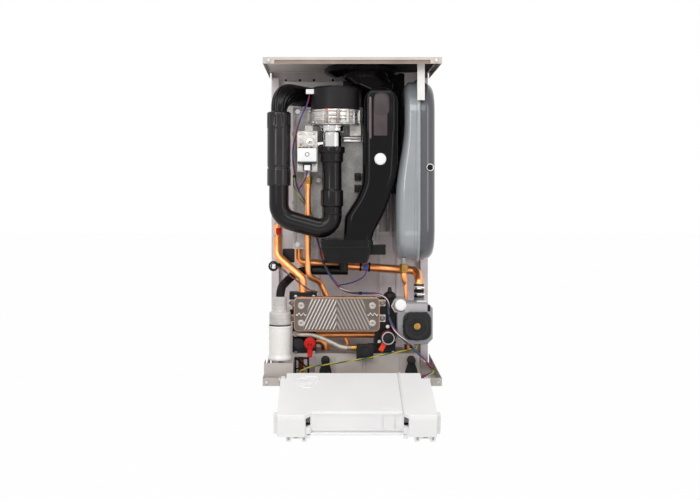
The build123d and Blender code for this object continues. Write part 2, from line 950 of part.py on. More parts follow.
# ---------------------------------------------------------------- heat cell
def make_cell():
    """Build the heat cell's casing, door, coil and burner."""
    x = (cell_left, cell_right)
    z = (cell_bottom, cell_top)
    casing = block(x, (cell_back, cell_front), z)
    inner_x = (cell_left + cell_wall, cell_right - cell_wall)
    inner_z = (cell_bottom + cell_wall, cell_top - cell_wall)
    casing -= block(inner_x, (cell_back + cell_wall, cell_front), inner_z)
    for foot_x in foot_places[0]:
        for foot_z in foot_places[1]:
            casing += block(around(foot_x, foot_half), (sheet, cell_back), around(foot_z, foot_half))
    rib_d = (cell_back, cell_front - cell_rib_setback)
    for level in cell_ribs:
        rib_z = around(level, cell_rib_half)
        casing += block((cell_left - cell_rib_proud, cell_left), rib_d, rib_z)
        casing += block((cell_right, cell_right + cell_rib_proud), rib_d, rib_z)
    add("heat_cell_casing", casing)

    door = block(x, (cell_front, door_face), z)
    rail_z = (door_rail_z, door_rail_z + door_rail_height)
    door += block(door_rail_x, (door_face, door_face + door_rail_proud), rail_z)
    door += forward(door_stud[0], (door_face, door_face + door_stud_length), door_stud[1], door_stud_radius)
    for low in door_lugs_z:
        lug_z = (low, low + door_lug_height)
        door += block(door_lugs_x, (door_face, door_face + door_lug_proud), lug_z)
    add("heat_cell_door", door)

    start = cell_back + cell_wall
    outline = [(coil_inner, start), (coil_outer - coil_round, start)]
    for turn in range(coil_turns):
        near = start + turn * coil_pitch
        outline += [(coil_outer, near + coil_round), (coil_outer, near + coil_pitch - coil_round),
                    (coil_outer - coil_round, near + coil_pitch)]
    outline += [(coil_inner, start + coil_turns * coil_pitch)]
    add("heat_exchanger_coil", turned_forward(outline, burner_x, burner_z))

    tip = cell_front - burner_length
    flange = burner_radius + burner_flange
    flange_back = cell_front - burner_flange_thick
    inside = burner_radius - burner_wall
    outline = [(0, tip), (burner_radius, tip), (burner_radius, flange_back), (flange, flange_back),
               (flange, cell_front), (inside, cell_front), (inside, tip + burner_wall),
               (0, tip + burner_wall)]
    add("burner", turned_forward(outline, burner_x, burner_z))


# ---------------------------------------------------------------- fan and air path
def make_fan():
    """Build the fan: cover with stator, volute casting, impeller on its shaft, and venturi."""
    roof = fan_top - fan_wall
    cover = upright(fan_x, fan_d, (fan_seam, fan_top), fan_radius)
    cover -= upright(fan_x, fan_d, (fan_seam, roof), fan_radius - fan_wall)
    cover += upright(fan_x, fan_d, (fan_seam + fan_rim, roof), stator_radius)
    cover -= upright(fan_x, fan_d, (fan_seam + fan_rim, roof), shaft_radius + run_gap)
    cover = chamfer(cover.edges().sort_by(Axis.Z)[-1], fan_edge)
    add("fan_cover", cover)
    add("fan_casting", make_casting())

    low = fan_base + casting_floor + impeller_gap
    plate_low = low + impeller_height - impeller_plate
    wheel = upright(fan_x, fan_d, (plate_low, low + impeller_height), impeller_radius)
    wheel += upright(fan_x, fan_d, (low, low + impeller_height), impeller_hub)
    for step in range(blade_count):
        blade = block((blade_start, impeller_radius - 1), around(0, blade_thick / 2), (low, plate_low))
        turn = Rot(0, 0, 360 * step / blade_count)
        wheel += Pos(at(fan_x, fan_d, 0)) * turn * Pos(0, blade_offset, 0) * blade
    wheel += upright(fan_x, fan_d, (low, roof - run_gap), shaft_radius)
    add("fan_impeller", wheel)

    ring_bottom = fan_base - venturi_ring_height
    throat = venturi_ring - venturi_groove
    neck = turned([(venturi_bore, fan_base), (venturi_ring, fan_base), (venturi_ring, fan_base - 5),
                   (throat, fan_base - 7), (throat, ring_bottom + venturi_groove),
                   (venturi_radius + 1, ring_bottom), (venturi_radius, ring_bottom - 2),
                   (venturi_radius, venturi_bottom), (venturi_bore, venturi_bottom)], venturi_x, fan_d)
    port = across((valve_right, venturi_x), gas_port_d, gas_port_z, gas_port_radius)
    port -= upright(venturi_x, fan_d, (venturi_bottom - 10, fan_base), venturi_radius - 1)
    add("venturi_neck", neck + port)


def make_casting():
    """Build the fan's volute casting with its rings, screw columns and the outlet into the door."""
    floor = fan_base + casting_floor
    ledge = floor + casting_ledge
    rim = fan_seam - fan_rim
    casting = upright(fan_x, fan_d, (fan_base, fan_seam), casting_radius)
    casting += upright(fan_x, fan_d, (rim, fan_seam), fan_radius + 1)
    casting += upright(fan_x, fan_d, (floor, ledge), fan_radius)
    casting += upright(fan_x - casting_offset, fan_d, (ledge, rim), fan_radius - 2)
    for angle in casting_screws:
        x = fan_x + fan_radius * math.cos(math.radians(angle))
        d = fan_d + (fan_radius - 2) * math.sin(math.radians(angle))
        if d > door_face + door_rail_proud:
            casting += upright(x, d, (floor, fan_seam), casting_screw_radius)
    outlet_low = door_rail_z + door_rail_height + run_gap
    casting += block(outlet_x, (door_face, outlet_front), (outlet_low, fan_base))
    casting += block(saddle_x, (door_face, saddle_front), (fan_base, fan_base + saddle_height))
    casting -= upright(fan_x, fan_d, (floor, fan_seam), volute_bore)
    casting -= upright(venturi_x, fan_d, (fan_base - past, floor), venturi_bore)
    return casting


def make_air_path():
    """Build the black air pipes: mixing pipe, U pipe, silencer and intake elbow."""
    socket = venturi_radius + plug_gap
    shelf = venturi_bottom - past
    collar_low = mixer_top - mixer_collar_height
    sleeve_top, sleeve_low = mixer_sleeve_ends
    ring_top, ring_low = mixer_ring_ends
    mixer = turned([(socket, mixer_top), (mixer_collar, mixer_top), (mixer_collar, collar_low),
                    (mixer_sleeve, sleeve_top), (mixer_sleeve, sleeve_low),
                    (mixer_radius, sleeve_low - mixer_slope), (mixer_radius, ring_top + 2),
                    (mixer_sleeve, ring_top), (mixer_sleeve, ring_low),
                    (mixer_radius, ring_low - mixer_slope), (mixer_radius, mixer_bottom),
                    (mixer_bore, mixer_bottom), (mixer_bore, shelf), (socket, shelf)], venturi_x, fan_d)
    add("mixing_pipe", mixer)

    bend = [at(venturi_x, fan_d, mixer_bottom), at(venturi_x, fan_d, u_pipe_right_low),
            at(silencer_x, fan_d, u_pipe_left_low), at(silencer_x, fan_d, silencer_bottom)]
    add("u_pipe", tube(bend, [u_pipe_right_bend, u_pipe_left_bend], mixer_radius, mixer_bore))

    s = silencer_radius
    waist = s - silencer_groove
    mouth = elbow_radius - air_wall
    foot = s + silencer_lip
    outline = [(mixer_bore, silencer_bottom), (foot, silencer_bottom), (foot, silencer_foot_top),
               (waist, silencer_foot_top + 2), (waist, silencer_groove_top - 1), (s, silencer_groove_top),
               (s, silencer_collar_z), (s + 1, silencer_collar_z + 1), (s + 1, silencer_top + 2),
               (s - 3, silencer_top), (mouth, silencer_top), (mouth, silencer_top - 4),
               (s - air_wall, silencer_top - silencer_floor),
               (s - air_wall, silencer_bottom + silencer_floor),
               (mixer_bore, silencer_bottom + silencer_floor / 2)]
    add("silencer", turned(outline, silencer_x, fan_d))

    route = [at(silencer_x, fan_d, silencer_top), at(silencer_x, fan_d, elbow_z),
             at(elbow_corner_x, elbow_d, elbow_z), at(air_box_x[0], elbow_d, elbow_z)]
    bends = [elbow_rise_bend, elbow_back_bend]
    add("intake_elbow", tube(route, bends, elbow_radius, elbow_radius - air_wall))


# ---------------------------------------------------------------- flue
def make_flue():
    """Build the flue path: socket on the top plate, collector, duct, condensate sump and test cap."""
    base = plate_top
    outer = flue_outer_bore + flue_wall
    inner = flue_inner_bore + flue_wall
    ledge = flue_outer_bore - socket_ledge
    top = base + socket_height
    rim = base + flange_thick
    collar = turned([(ledge, base), (flange_radius, base), (flange_radius, rim), (outer, rim), (outer, top),
                     (flue_outer_bore, top), (flue_outer_bore, rim), (ledge, rim)], flue_x, flue_d)
    collar += turned([(flue_inner_bore, base - inner_drop), (inner, base - inner_drop), (inner, rim),
                      (flue_inner_bore, rim)], flue_x, flue_d)
    for quarter in range(4):
        fin = block((inner - 1, ledge + 1), around(0, fin_half), (base, rim))
        collar += Pos(at(flue_x, flue_d, 0)) * Rot(0, 0, 90 * quarter) * fin
    add("flue_socket", collar)
    add("flue_collector", make_collector())
    add("flue_duct", make_duct())
    add("condensate_sump", make_sump())

    cap = forward(cap_x, (cap_seat + run_gap, cap_front), cap_z, cap_radius)
    cap += forward(cap_x, (cap_back, cap_front - cap_boss), cap_z, cap_stem)
    add("flue_test_cap", cap)


def make_collector():
    """Build the collector: a round dish under the top plate, its neck to the duct and the air box."""
    under = plate_top - sheet
    rim_low, rim_high = dish_rim
    dish = turned([(0, dish_floor), (dish_foot, dish_floor), (dish_shoulder, dish_slope_top),
                   (dish_radius, rim_low), (dish_radius, rim_high), (dish_shoulder, rim_high + 2),
                   (dish_shoulder, under), (0, under)], flue_x, flue_d)
    inside = dish_shoulder - duct_wall
    hollow = turned([(0, dish_floor + duct_wall), (dish_foot - 1, dish_floor + duct_wall),
                     (inside, dish_slope_top + duct_wall), (inside, under), (0, under)], flue_x, flue_d)
    neck = [(dish_rim[0] + 2, -22, 94, 60, 214, 50), (dish_floor - 6, -20, 96, 75, 216, 40),
            (-8, 3, 106, 112, 224, 24), (duct_top, *duct_top_x, duct_back, duct_top_front, duct_corner)]
    inner_x = (air_box_x[0] + duct_wall, air_box_x[1] - duct_wall)
    inner_d = (air_box_d[0] + duct_wall, air_box_d[1] - duct_wall)
    inner_z = (air_box_z[0] + duct_wall, dish_slope_top + duct_wall)
    collector = dish + duct(neck) + block(air_box_x, air_box_d, air_box_z)
    collector -= hollow
    collector -= duct(neck, duct_wall)
    collector -= block(inner_x, inner_d, inner_z)
    collector -= across((air_box_x[0], inner_x[0]), elbow_d, elbow_z, elbow_radius - air_wall)
    return collector


def make_duct():
    """Build the moulded flue duct with its arched head, raised panel and test-cap boss."""
    corner = duct_corner
    fronts = (duct_front, duct_front, duct_front, duct_front - 2, mouth_front, mouth_front)
    runs = [(duct_top, *duct_top_x, duct_back, duct_top_front, corner),
            (arch_spring, *duct_x, duct_back, arch_front, corner)]
    runs += [(*run, duct_back, front, corner) for run, front in zip(duct_runs, fronts)]
    runs += [(sump_seam, *mouth_x, duct_back, mouth_front, corner)]
    flue = duct(runs) + arch_head(duct_top_front, 0)
    flue += soft_block(panel_x, (duct_front - panel_proud, duct_front + panel_proud), panel_z, panel_round)
    flue += forward(cap_x, (duct_front - 6, cap_seat), cap_z, cap_radius + cap_boss)
    flue -= duct(runs, duct_wall)
    flue -= arch_head(duct_top_front + duct_wall, duct_wall)
    flue -= forward(cap_x, (cap_back - 1, cap_front), cap_z, cap_stem + run_gap)
    return flue


def arch_head(back, inset):
    """Make the half-round head of the flue duct from a distance to its front, drawn in by the inset."""
    middle = sum(duct_x) / 2
    radius = (duct_x[1] - duct_x[0]) / 2 - inset
    front = arch_front - inset
    disc = forward(middle, (back, front), arch_spring, radius)
    disc = fillet(disc.edges().sort_by(Axis.Y)[0], min(arch_round, front - back - 1) - inset)
    return disc & block(duct_x, (back, front), (arch_spring, arch_spring + radius))


def make_sump():
    """Build the condensate sump with its rim, its lug and the drain pipe below it."""
    ring_low = sump_seam - sump_ring
    lid = sump_seam - duct_wall
    sides = (*sump_x, duct_back, duct_front + 2, sump_corner)
    foot = (*sump_foot_x, *sump_foot_d, sump_corner - 2)
    rim_x = (sump_x[0] - sump_rim, sump_x[1] + sump_rim)
    rim_sides = (*rim_x, duct_back, duct_front + 2 + sump_rim, duct_corner)
    bowl = [(sump_seam, *sides), (ring_low, *sides), (sump_bottom, *foot)]
    hollow = [(lid, *sides), (ring_low, *sides), (sump_bottom + duct_wall, *foot)]
    rim = [(sump_seam - depth, *rim_sides) for depth in sump_rim_ends]
    mouth = [(z, *mouth_x, duct_back, mouth_front, duct_corner) for z in (sump_seam, lid)]
    sump = duct(bowl) + duct(rim) + block(sump_lug_x, sump_lug_d, sump_lug_z)
    sump += across((drain_end_x, drain_start_x), drain_d, drain_z, drain_radius + drain_wall)
    sump += upright(spout_x, spout_d, (drain_z, sump_bottom + 2), drain_radius + drain_wall)
    sump -= duct(hollow, duct_wall)
    sump -= duct(mouth, duct_wall)
    sump -= across((drain_end_x, drain_start_x - 6), drain_d, drain_z, drain_bore)
    sump -= upright(spout_x, spout_d, (drain_z, sump_bottom + duct_wall), drain_bore)
    return sump


# ---------------------------------------------------------------- gas
def make_gas():
    """Build the gas valve with its actuator and the pipe that feeds it."""
    x = (valve_left, valve_right)
    body = block(x, (valve_back, valve_front - valve_step), (valve_bottom, valve_top))
    body += block(x, (valve_front - valve_step, valve_front), (valve_cover_bottom, valve_top))
    body = fillet(body.edges().filter_by(Axis.Y), valve_round)
    body += block(valve_post_x, valve_post_d, (valve_top, fan_base))
    for knob, z, radius, length in valve_knobs:
        body += forward(knob, (valve_front, valve_front + length), z, radius)
    screw_d = (valve_front - valve_step, valve_front + valve_screw_proud)
    for screw in (valve_left + valve_screw_inset, valve_right - valve_screw_inset):
        for z in valve_screw_z:
            body += forward(screw, screw_d, z, valve_screw_radius)
    body += upright(gas_run_x, gas_run_d, (valve_spigot_end, valve_bottom), valve_spigot_radius)
    add("gas_valve_body", body)

    front = valve_front + actuator_depth
    plug_d = (valve_front - valve_step, valve_front + actuator_plug_proud)
    head = soft_block((valve_left + 1, valve_right - 2), (valve_front, front), actuator_z, actuator_round)
    head += forward(sum(x) / 2, (front - 2, front + 2), actuator_cap_z, actuator_cap_radius)
    head += block(actuator_plug_x, plug_d, (valve_bottom + 4, actuator_z[0]))
    add("gas_valve_actuator", head)

    route = [at(gas_run_x, gas_run_d, valve_spigot_end), at(gas_run_x, gas_run_d, gas_bend_z),
             at(gas_offset[0], tail_depth, gas_offset[1]), at(gas_x, tail_depth, gas_drop_z),
             at(gas_x, tail_depth, tail_bottom)]
    pipe = tube(route, list(gas_bends), small_pipe, small_pipe - pipe_wall)
    add("gas_pipe", pipe + grommet(gas_x, small_pipe))


# ---------------------------------------------------------------- expansion vessel
def vessel_body(inset):
    """Make the vessel's outline as a solid, drawn in by the inset: it narrows towards its top left."""
    low, high = vessel_bottom + inset, vessel_top - inset
    right = vessel_right - inset
    left = vessel_left + inset
    top_left = vessel_top_left + inset
    outline = [(left, 0, low), (left, 0, vessel_waist), (top_left, 0, vessel_shoulder), (top_left, 0, high),
               (right, 0, high), (right, 0, low)]
    face = Pos(0, -vessel_back - inset, 0) * make_face(Polyline(*outline, close=True))
    shape = extrude(face, amount=vessel_front - vessel_back - 2 * inset, dir=(0, -1, 0))
    corners = [edge for edge in shape.edges().filter_by(Axis.X)]
    shape = fillet(corners, vessel_corner - inset)
    rims = [edge for edge in shape.edges() if on_rim(edge, inset)]
    return fillet(rims, vessel_round - inset)


def on_rim(edge, inset):
    """Tell whether an edge runs round the left or the right side of the vessel."""
    box = edge.bounding_box()
    left_side = box.max.X <= vessel_top_left + inset + 0.01
    right_side = box.min.X >= vessel_right - inset - 0.01
    inner_bend = box.size.Y > vessel_front - vessel_back - 2 * inset - 0.1
    return (left_side or right_side) and not inner_bend


def plate_outline(x, d, z, corner):
    """Make a flat plate with large corners seen from the side."""
    shape = block(x, d, z)
    return fillet(shape.edges().filter_by(Axis.X), corner)


def make_vessel():
    """Build the expansion vessel: two pressed shells, the seam band and the diaphragm inside."""
    x = (vessel_left, vessel_right)
    d = (vessel_back, vessel_front)
    z = (vessel_bottom, vessel_top)
    w = vessel_wall
    outer = vessel_body(0)
    inner = vessel_body(w)
    shell = outer - inner
    p = seam_proud
    deep = (0, frame_depth)
    tall = (z[0] - past, z[1] + past)
    band_x = around(vessel_seam_x, seam_band / 2)
    band = plate_outline(band_x, (d[0] - p, d[1] + p), (z[0] - p, z[1] + p), vessel_corner + p)
    band -= plate_outline(band_x, d, z, vessel_corner)
    port_z = (vessel_bottom - vessel_port_length, vessel_bottom + vessel_port_depth)
    port = upright(vessel_port_x, vessel_port_d, port_z, vessel_port_radius)
    left = (shell & block((x[0] - past, vessel_seam_x), deep, tall)) + band
    left += port - inner
    add("vessel_shell_left", left)
    valve_d = (vessel_front - vessel_valve_depth, vessel_front + vessel_valve_proud)
    valve = forward(vessel_valve_x, valve_d, vessel_valve_z, vessel_valve_radius)
    right = shell & block((vessel_seam_x, x[1] + past), deep, tall)
    right += valve - outer
    add("vessel_shell_right", right)
    add("vessel_diaphragm", make_diaphragm(w + run_gap, d, z))


def make_diaphragm(inset, d, z):
    """Build the rubber diaphragm: a flat skirt in the seam with a shallow bag in its middle."""
    span_d = (d[0] + inset, d[1] - inset)
    span_z = (z[0] + inset, z[1] - inset)
    half_d, half_z = diaphragm_bulge_half
    skin = diaphragm_skin
    x = vessel_seam_x
    membrane = plate_outline(around(x, diaphragm_half), span_d, span_z, vessel_corner - inset)
    membrane += block((x, x + diaphragm_bulge), around(sum(d) / 2, half_d), around(sum(z) / 2, half_z))
    membrane -= block((x - skin, x + diaphragm_bulge - skin), around(sum(d) / 2, half_d - skin),
                      around(sum(z) / 2, half_z - skin))
    return membrane


# ---------------------------------------------------------------- pipes
def make_pipes():
    """Build the copper pipes, their brass nuts and the temperature sensors on them."""
    bore = large_pipe - pipe_wall
    flow = [at(cell_left, *flow_start), at(flow_corner_x, *flow_start), at(flow_corner_x, *flow_low),
            at(*flow_end), at(flow_end[0], flow_end[1], left_block_top)]
    add("flow_pipe", tube(flow, list(flow_bends), large_pipe, bore))

    left, right = return_x
    back = [at(left, return_d, cell_bottom), at(left, return_d, return_z[0]),
            at(right, return_d, return_z[1]), at(right, return_front, return_drop_z),
            at(right, return_front, return_end)]
    add("return_pipe", tube(back, list(return_bends), large_pipe, bore))

    x, d = feed_end()
    feed = [at(feed_x, feed_d, feed_nut[0]), at(feed_x, feed_d, feed_bend_z), at(x, d, feed_end_z),
            at(x, d, pump_top)]
    add("vessel_pipe", tube(feed, list(feed_bends), feed_radius, feed_radius - pipe_wall))

    nuts = [brass_nut(feed_x, feed_d, feed_nut, feed_nut_radius, feed_radius),
            brass_nut(gas_run_x, gas_run_d, gas_nut, gas_nut_radius, small_pipe),
            brass_nut(gas_x, tail_depth, gas_foot_nut, gas_foot_nut_radius, small_pipe)]
    near, far = plug_d
    half, rise, depth = plug_slot
    plug = forward(pump_x, (pump_front + near, pump_front + far), plug_z, plug_radius)
    plug -= block(around(pump_x, half), (pump_front + far - depth, pump_front + far), around(plug_z, rise))
    nuts.append(plug)
    nuts.append(across((ferrule_start, fill_valve_x[0]), fill_d, fill_z, filling_radius + ferrule_wall))
    add("brass_fittings", Compound(children=nuts))

    tails = [tail(hot_water_x, small_pipe, rail_top), tail(cold_water_x, small_pipe, rail_top),
             tail(heating_return_x, large_pipe, pump_bottom + pump_wall)]
    rise = [at(heating_flow_x, tail_depth, tail_bottom), at(heating_flow_x, tail_depth, flow_tail_z),
            at(left_block[1], tail_depth, flow_tail_z)]
    tails.append(tube(rise, [flow_tail_bend], large_pipe, bore) + grommet(heating_flow_x, large_pipe))
    tails.append(across((left_block[1], right_block[0]), link_d, link_z, link_radius))
    add("connection_pipes", Compound(children=tails))
    add("pipe_sensors", make_sensors())


def feed_end():
    """Give the place where the pipe from the expansion vessel enters the pump."""
    return feed_x + feed_step[0], feed_d + feed_step[1]


def make_sensors():
    """Build the two clip-on temperature sensors and the pressure sensor under the heat cell."""
    sensors = []
    for x, d, z in (flow_sensor, return_sensor):
        near = d + large_pipe + plug_gap
        clip_x = (x + sensor_x[0], x + sensor_x[1])
        sensors.append(block(clip_x, (near, near + sensor_thick), around(z, sensor_half)))
    body = block(pressure_x, pressure_d, (pressure_bottom, cell_bottom))
    body += across(pressure_stem_x, pressure_stem_d, pressure_stem_z, pressure_stem_radius)
    back, floor, front = pressure_ring_d
    body += forward(pressure_ring_x, (back, front), pressure_ring_z, pressure_ring_radius)
    body -= forward(pressure_ring_x, (floor, front), pressure_ring_z, pressure_ring_bore)
    sensors.append(body)
    return Compound(children=sensors)


def grommet(x, radius):
    """Make the ring that seats a pipe in its hole in the tray."""
    ring = upright(x, tail_depth, grommet_z, radius + hole_margin - 0.5)
    return ring - upright(x, tail_depth, grommet_z, radius - grommet_grip)


def tail(x, radius, top):
    """Make a straight pipe that leaves through the floor, with the ring that seats it."""
    z = (tail_bottom, top)
    pipe = upright(x, tail_depth, z, radius) - upright(x, tail_depth, z, radius - pipe_wall)
    return pipe + grommet(x, radius)


def brass_nut(x, d, z, radius, bore):
    """Make a hexagon union nut on a vertical pipe."""
    low, high = z
    nut = Pos(at(x, d, low)) * extrude(RegularPolygon(radius, 6), high - low)
    return nut - upright(x, d, z, bore + plug_gap)


# ---------------------------------------------------------------- hydraulics
def make_exchanger():
    """Build the plate heat exchanger: the brazed pack, its eared back plate and its pressed front."""
    x = (plates_left, plates_right)
    z = (plates_bottom, plates_top)
    pack_back = plates_back + front_plate
    pack = block(x, (pack_back, plates_front - front_plate), z)
    pack = fillet(pack.edges().filter_by(Axis.Y), plate_corner)
    wide = ((x[0] - past, x[1] + past), (z[0] - past, z[1] + past))
    core = ((x[0] + past, x[1] - past), (z[0] + past, z[1] - past))
    for level in range(pack_grooves):
        d = pack_back + front_plate + level * pack_groove_pitch
        inside = block(core[0], (d, d + pack_groove), core[1])
        inside = fillet(inside.edges().filter_by(Axis.Y), plate_corner - past)
        pack -= block(wide[0], (d, d + pack_groove), wide[1]) - inside
    for ear_z in plate_ears_z:
        left = (plates_left - plate_ear_left, plates_left + plate_ear_root)
        right = (plates_right - plate_ear_root, plates_right + plate_ear_right)
        pack += block(left, (plates_back, pack_back), ear_z)
        pack += block(right, (plates_back, pack_back), ear_z)
    back = block(x, (plates_back, pack_back), z)
    pack += fillet(back.edges().filter_by(Axis.Y), plate_corner)
    add("plate_exchanger", pack)

    front = block(x, (plates_front - front_plate, plates_front), z)
    front = fillet(front.edges().filter_by(Axis.Y), plate_corner)
    for rib in chevrons(x, z):
        front += rib
    for px in (x[0] + port_inset_x, x[1] - port_inset_x):
        for pz in (z[0] + port_inset_z, z[1] - port_inset_z):
            tip = plates_front + port_height
            front += forward(px, (plates_front, tip), pz, port_radius)
            front -= forward(px, (tip - port_dimple_depth, tip), pz, port_dimple)
    add("exchanger_front_plate", front)


def chevrons(x, z):
    """List the pressed ribs of the front plate, which lean towards the middle from both sides."""
    middle = sum(x) / 2
    face = (plates_front, plates_front + chevron_height)
    field_z = (z[0] + rib_margin, z[1] - rib_margin)
    field_half = middle - x[0] - port_inset_x - port_radius - rib_margin
    reach = (field_z[1] - field_z[0]) / 2
    lean = reach / math.tan(math.radians(chevron_angle))
    count = math.ceil((field_half + lean) / chevron_pitch)
    ribs = []
    for side in (-1, 1):
        clip = block(sorted((middle + side * rib_split / 2, middle + side * field_half)), face, field_z)
        for step in range(-count, count + 1):
            foot = middle + side * (step + 1 / 3) * chevron_pitch
            low = foot - side * lean
            high = foot + side * lean
            outline = [(low, 0, field_z[0] - past), (low + rib_width, 0, field_z[0] - past),
                       (high + rib_width, 0, field_z[1] + past), (high, 0, field_z[1] + past)]
            bar = extrude(make_face(Polyline(*outline, close=True)), amount=chevron_height, dir=(0, -1, 0))
            rib = Pos(0, -plates_front, 0) * bar & clip
            if rib and rib.volume > 1:
                ribs.append(rib)
    return ribs


def make_blocks():
    """Build the two moulded hydraulic blocks, the filling lever, the relief lever and the two taps."""
    depth = (block_back, block_front)
    left = block(left_block, depth, (rail_top, left_shoulder_z))
    left += block(left_shoulder_x, (left_shoulder_back, block_front), (left_shoulder_z, left_block_top))
    left += block(left_crown_x, (block_back, left_shoulder_back + 2), (left_shoulder_z, left_block_top - 4))
    left += forward(left_port[0], (block_front, left_port_front), left_port[1], left_port_radius)
    left += forward(lever_x, (block_front, lever_seat), lever_z, lever_seat_radius)
    left += across((left_shoulder_x[0], left_block[0]), *left_boss, left_boss_radius)
    left -= forward(lever_x, (block_front - lever_depth, lever_seat), lever_z, shaft_radius + run_gap)
    add("hydraulic_block_left", left)
    add("hydraulic_block_right", make_right_block())

    lever = forward(lever_x, (lever_back, lever_front), lever_z, lever_radius)
    grip_d = (lever_back + 1, lever_front - 1)
    lever += block(around(lever_x, lever_width / 2), grip_d, (lever_z - lever_length, lever_z))
    lever = fillet(lever.edges().filter_by(Axis.Y), lever_edge)
    lever += forward(lever_x, (block_front - lever_depth + 1, lever_back), lever_z, shaft_radius)
    lever -= forward(lever_x, (lever_front - 2, lever_front), lever_z, lever_dimple)
    add("filling_lever", lever)

    lever_d = (relief_lever_back, relief_lever_front)
    collar = forward(relief_x, lever_d, relief_z, relief_lever_radius)
    collar -= forward(relief_x, lever_d, relief_z, relief_neck + run_gap)
    tab_z = (relief_z - relief_tab[1], relief_z - relief_tab[0])
    tab = block(around(relief_x, relief_tab_half), lever_d, tab_z)
    tab = Pos(at(relief_x, 0, relief_z)) * Rot(0, relief_tab_angle, 0) * Pos(-relief_x, 0, -relief_z) * tab
    add("relief_lever", collar + tab)

    for name, x in zip(("flow_tap", "return_tap"), tap_x):
        add(name, make_tap(x))


def make_right_block():
    """Build the right hydraulic block with its dome, relief-valve seat and filling valve."""
    depth = (block_back, block_front)
    top = right_block_top
    right = block(right_block, depth, (rail_top, top))
    dome = turned([(0, top), (dome_radius, top), (dome_radius, top + dome_wall),
                   (dome_cone[0], top + dome_cone[1]), (dome_neck[0], top + dome_neck[1]),
                   (dome_tip[0], top + dome_tip[1]), (0, top + dome_tip[1])], dome_x, dome_d)
    right += dome & block((0, dome_reach), (0, frame_depth), (top - past, top + dome_tip[1] + past))
    right += forward(relief_x, (block_front, relief_face), relief_z, relief_radius)
    right += forward(relief_x, (relief_face, relief_neck_front), relief_z, relief_neck)
    head_d = (relief_lever_front + 0.5 + run_gap, relief_head_front)
    right += forward(relief_x, head_d, relief_z, relief_head)
    bore_d = (relief_head_front - relief_bore_depth, relief_head_front)
    right -= forward(relief_x, bore_d, relief_z, relief_bore)
    right += forward(relief_x, (block_front, stud_front), relief_z + stud_rise, stud_radius)
    right += forward(side_stud[0], (block_front, stud_front), side_stud[1], stud_radius)
    right += block(fill_valve_x, fill_valve_d, fill_valve_z)
    arm_left, arm_middle, arm_right = fill_arm_x
    right += block((arm_left, arm_right), (fill_arm_back, fill_valve_d[0] + 1), fill_arm_z)
    right += block((arm_middle, arm_right), (fill_arm_back, block_front), fill_arm_z)
    cap_d = (fill_valve_d[1], fill_cap_front)
    right += forward(sum(fill_valve_x) / 2, cap_d, fill_cap_z, fill_cap_radius)
    return right


def make_tap(x):
    """Build one isolating tap: shaft from the pipe, hub and a grip that widens downwards."""
    start = tail_depth + large_pipe + run_gap
    narrow, wide = tap_grip_half
    low = tap_z - tap_grip_length
    tap = forward(x, (start, tap_shaft_end), tap_z, shaft_radius)
    tap += forward(x, tap_hub_d, tap_z, tap_hub)
    grip = [(x - narrow, 0, tap_z), (x - wide, 0, low), (x + wide, 0, low), (x + narrow, 0, tap_z)]
    face = Pos(0, -tap_grip_d[0], 0) * make_face(Polyline(*grip, close=True))
    return tap + extrude(face, amount=tap_grip_d[1] - tap_grip_d[0], dir=(0, -1, 0))


# ---------------------------------------------------------------- pump
def make_pump():
    """Build the circulating pump: body, motor cover, rotor and the venting cap."""
    inlet_x = return_x[1]
    feed_place = feed_end()
    body = block((pump_left, pump_right), (pump_back, pump_front), (pump_bottom, pump_top))
    body = chamfer(body.edges().filter_by(Axis.Y), pump_chamfer)
    body = fillet(body.faces().sort_by(Axis.Y)[0].edges(), pump_round)
    body += forward(pump_x, (volute_back, pump_back), pump_z, volute_radius)
    body += upright(inlet_x, return_front, (pump_inlet_low, return_end), pump_inlet_radius)
    body += block(pump_link_x, pump_link_d, pump_link_z)
    body += forward(vent_x, (block_front + 1, vent_seat), vent_z, vent_seat_radius)
    body += upright(*feed_place, (pump_feed_low, pump_top), pump_feed_radius)
    outlet_z = (pump_bottom + pump_wall, pump_z)
    body += upright(heating_return_x, tail_depth, outlet_z, large_pipe + pipe_wall)
    body -= forward(pump_x, (volute_back + pump_wall, pump_back), pump_z, volute_room)
    body -= forward(pump_x, (pump_back, pump_front), pump_z, rotor_bore)
    body -= upright(inlet_x, return_front, (pump_z, return_end), large_pipe - pipe_wall)
    body -= forward(vent_x, (vent_back, vent_seat), vent_z, vent_stem + run_gap)
    body -= forward(vent_x, (vent_seat, pump_front), vent_z, vent_radius + 1)
    add("pump_body", body)
    add("pump_motor_cover", make_motor_cover())

    wheel_back = volute_back + pump_wall
    rotor = forward(pump_x, (wheel_back + run_gap, pump_front - run_gap), pump_z, shaft_radius)
    rotor += forward(pump_x, (volute_back + wheel_d[0], volute_back + wheel_d[1]), pump_z, wheel_radius)
    for step in range(vane_count):
        vane = block(vane_reach, around(0, vane_half), (0, vane_height))
        vane = Rot(90, 0, 0) * Rot(0, 0, 360 * step / vane_count) * vane
        rotor += Pos(at(pump_x, volute_back + vane_start, pump_z)) * vane
    core = (pump_back + rotor_ends[0], pump_front - rotor_ends[1])
    rotor += forward(pump_x, core, pump_z, rotor_bore - rotor_gap)
    add("pump_rotor", rotor)

    cap = forward(vent_x, (vent_seat + run_gap, vent_front), vent_z, vent_radius)
    cap = chamfer(cap.edges().sort_by(Axis.Y)[0], vent_edge)
    cap += forward(vent_x, (vent_back + run_gap, vent_seat + 1), vent_z, vent_stem)
    add("pump_vent_cap", cap)


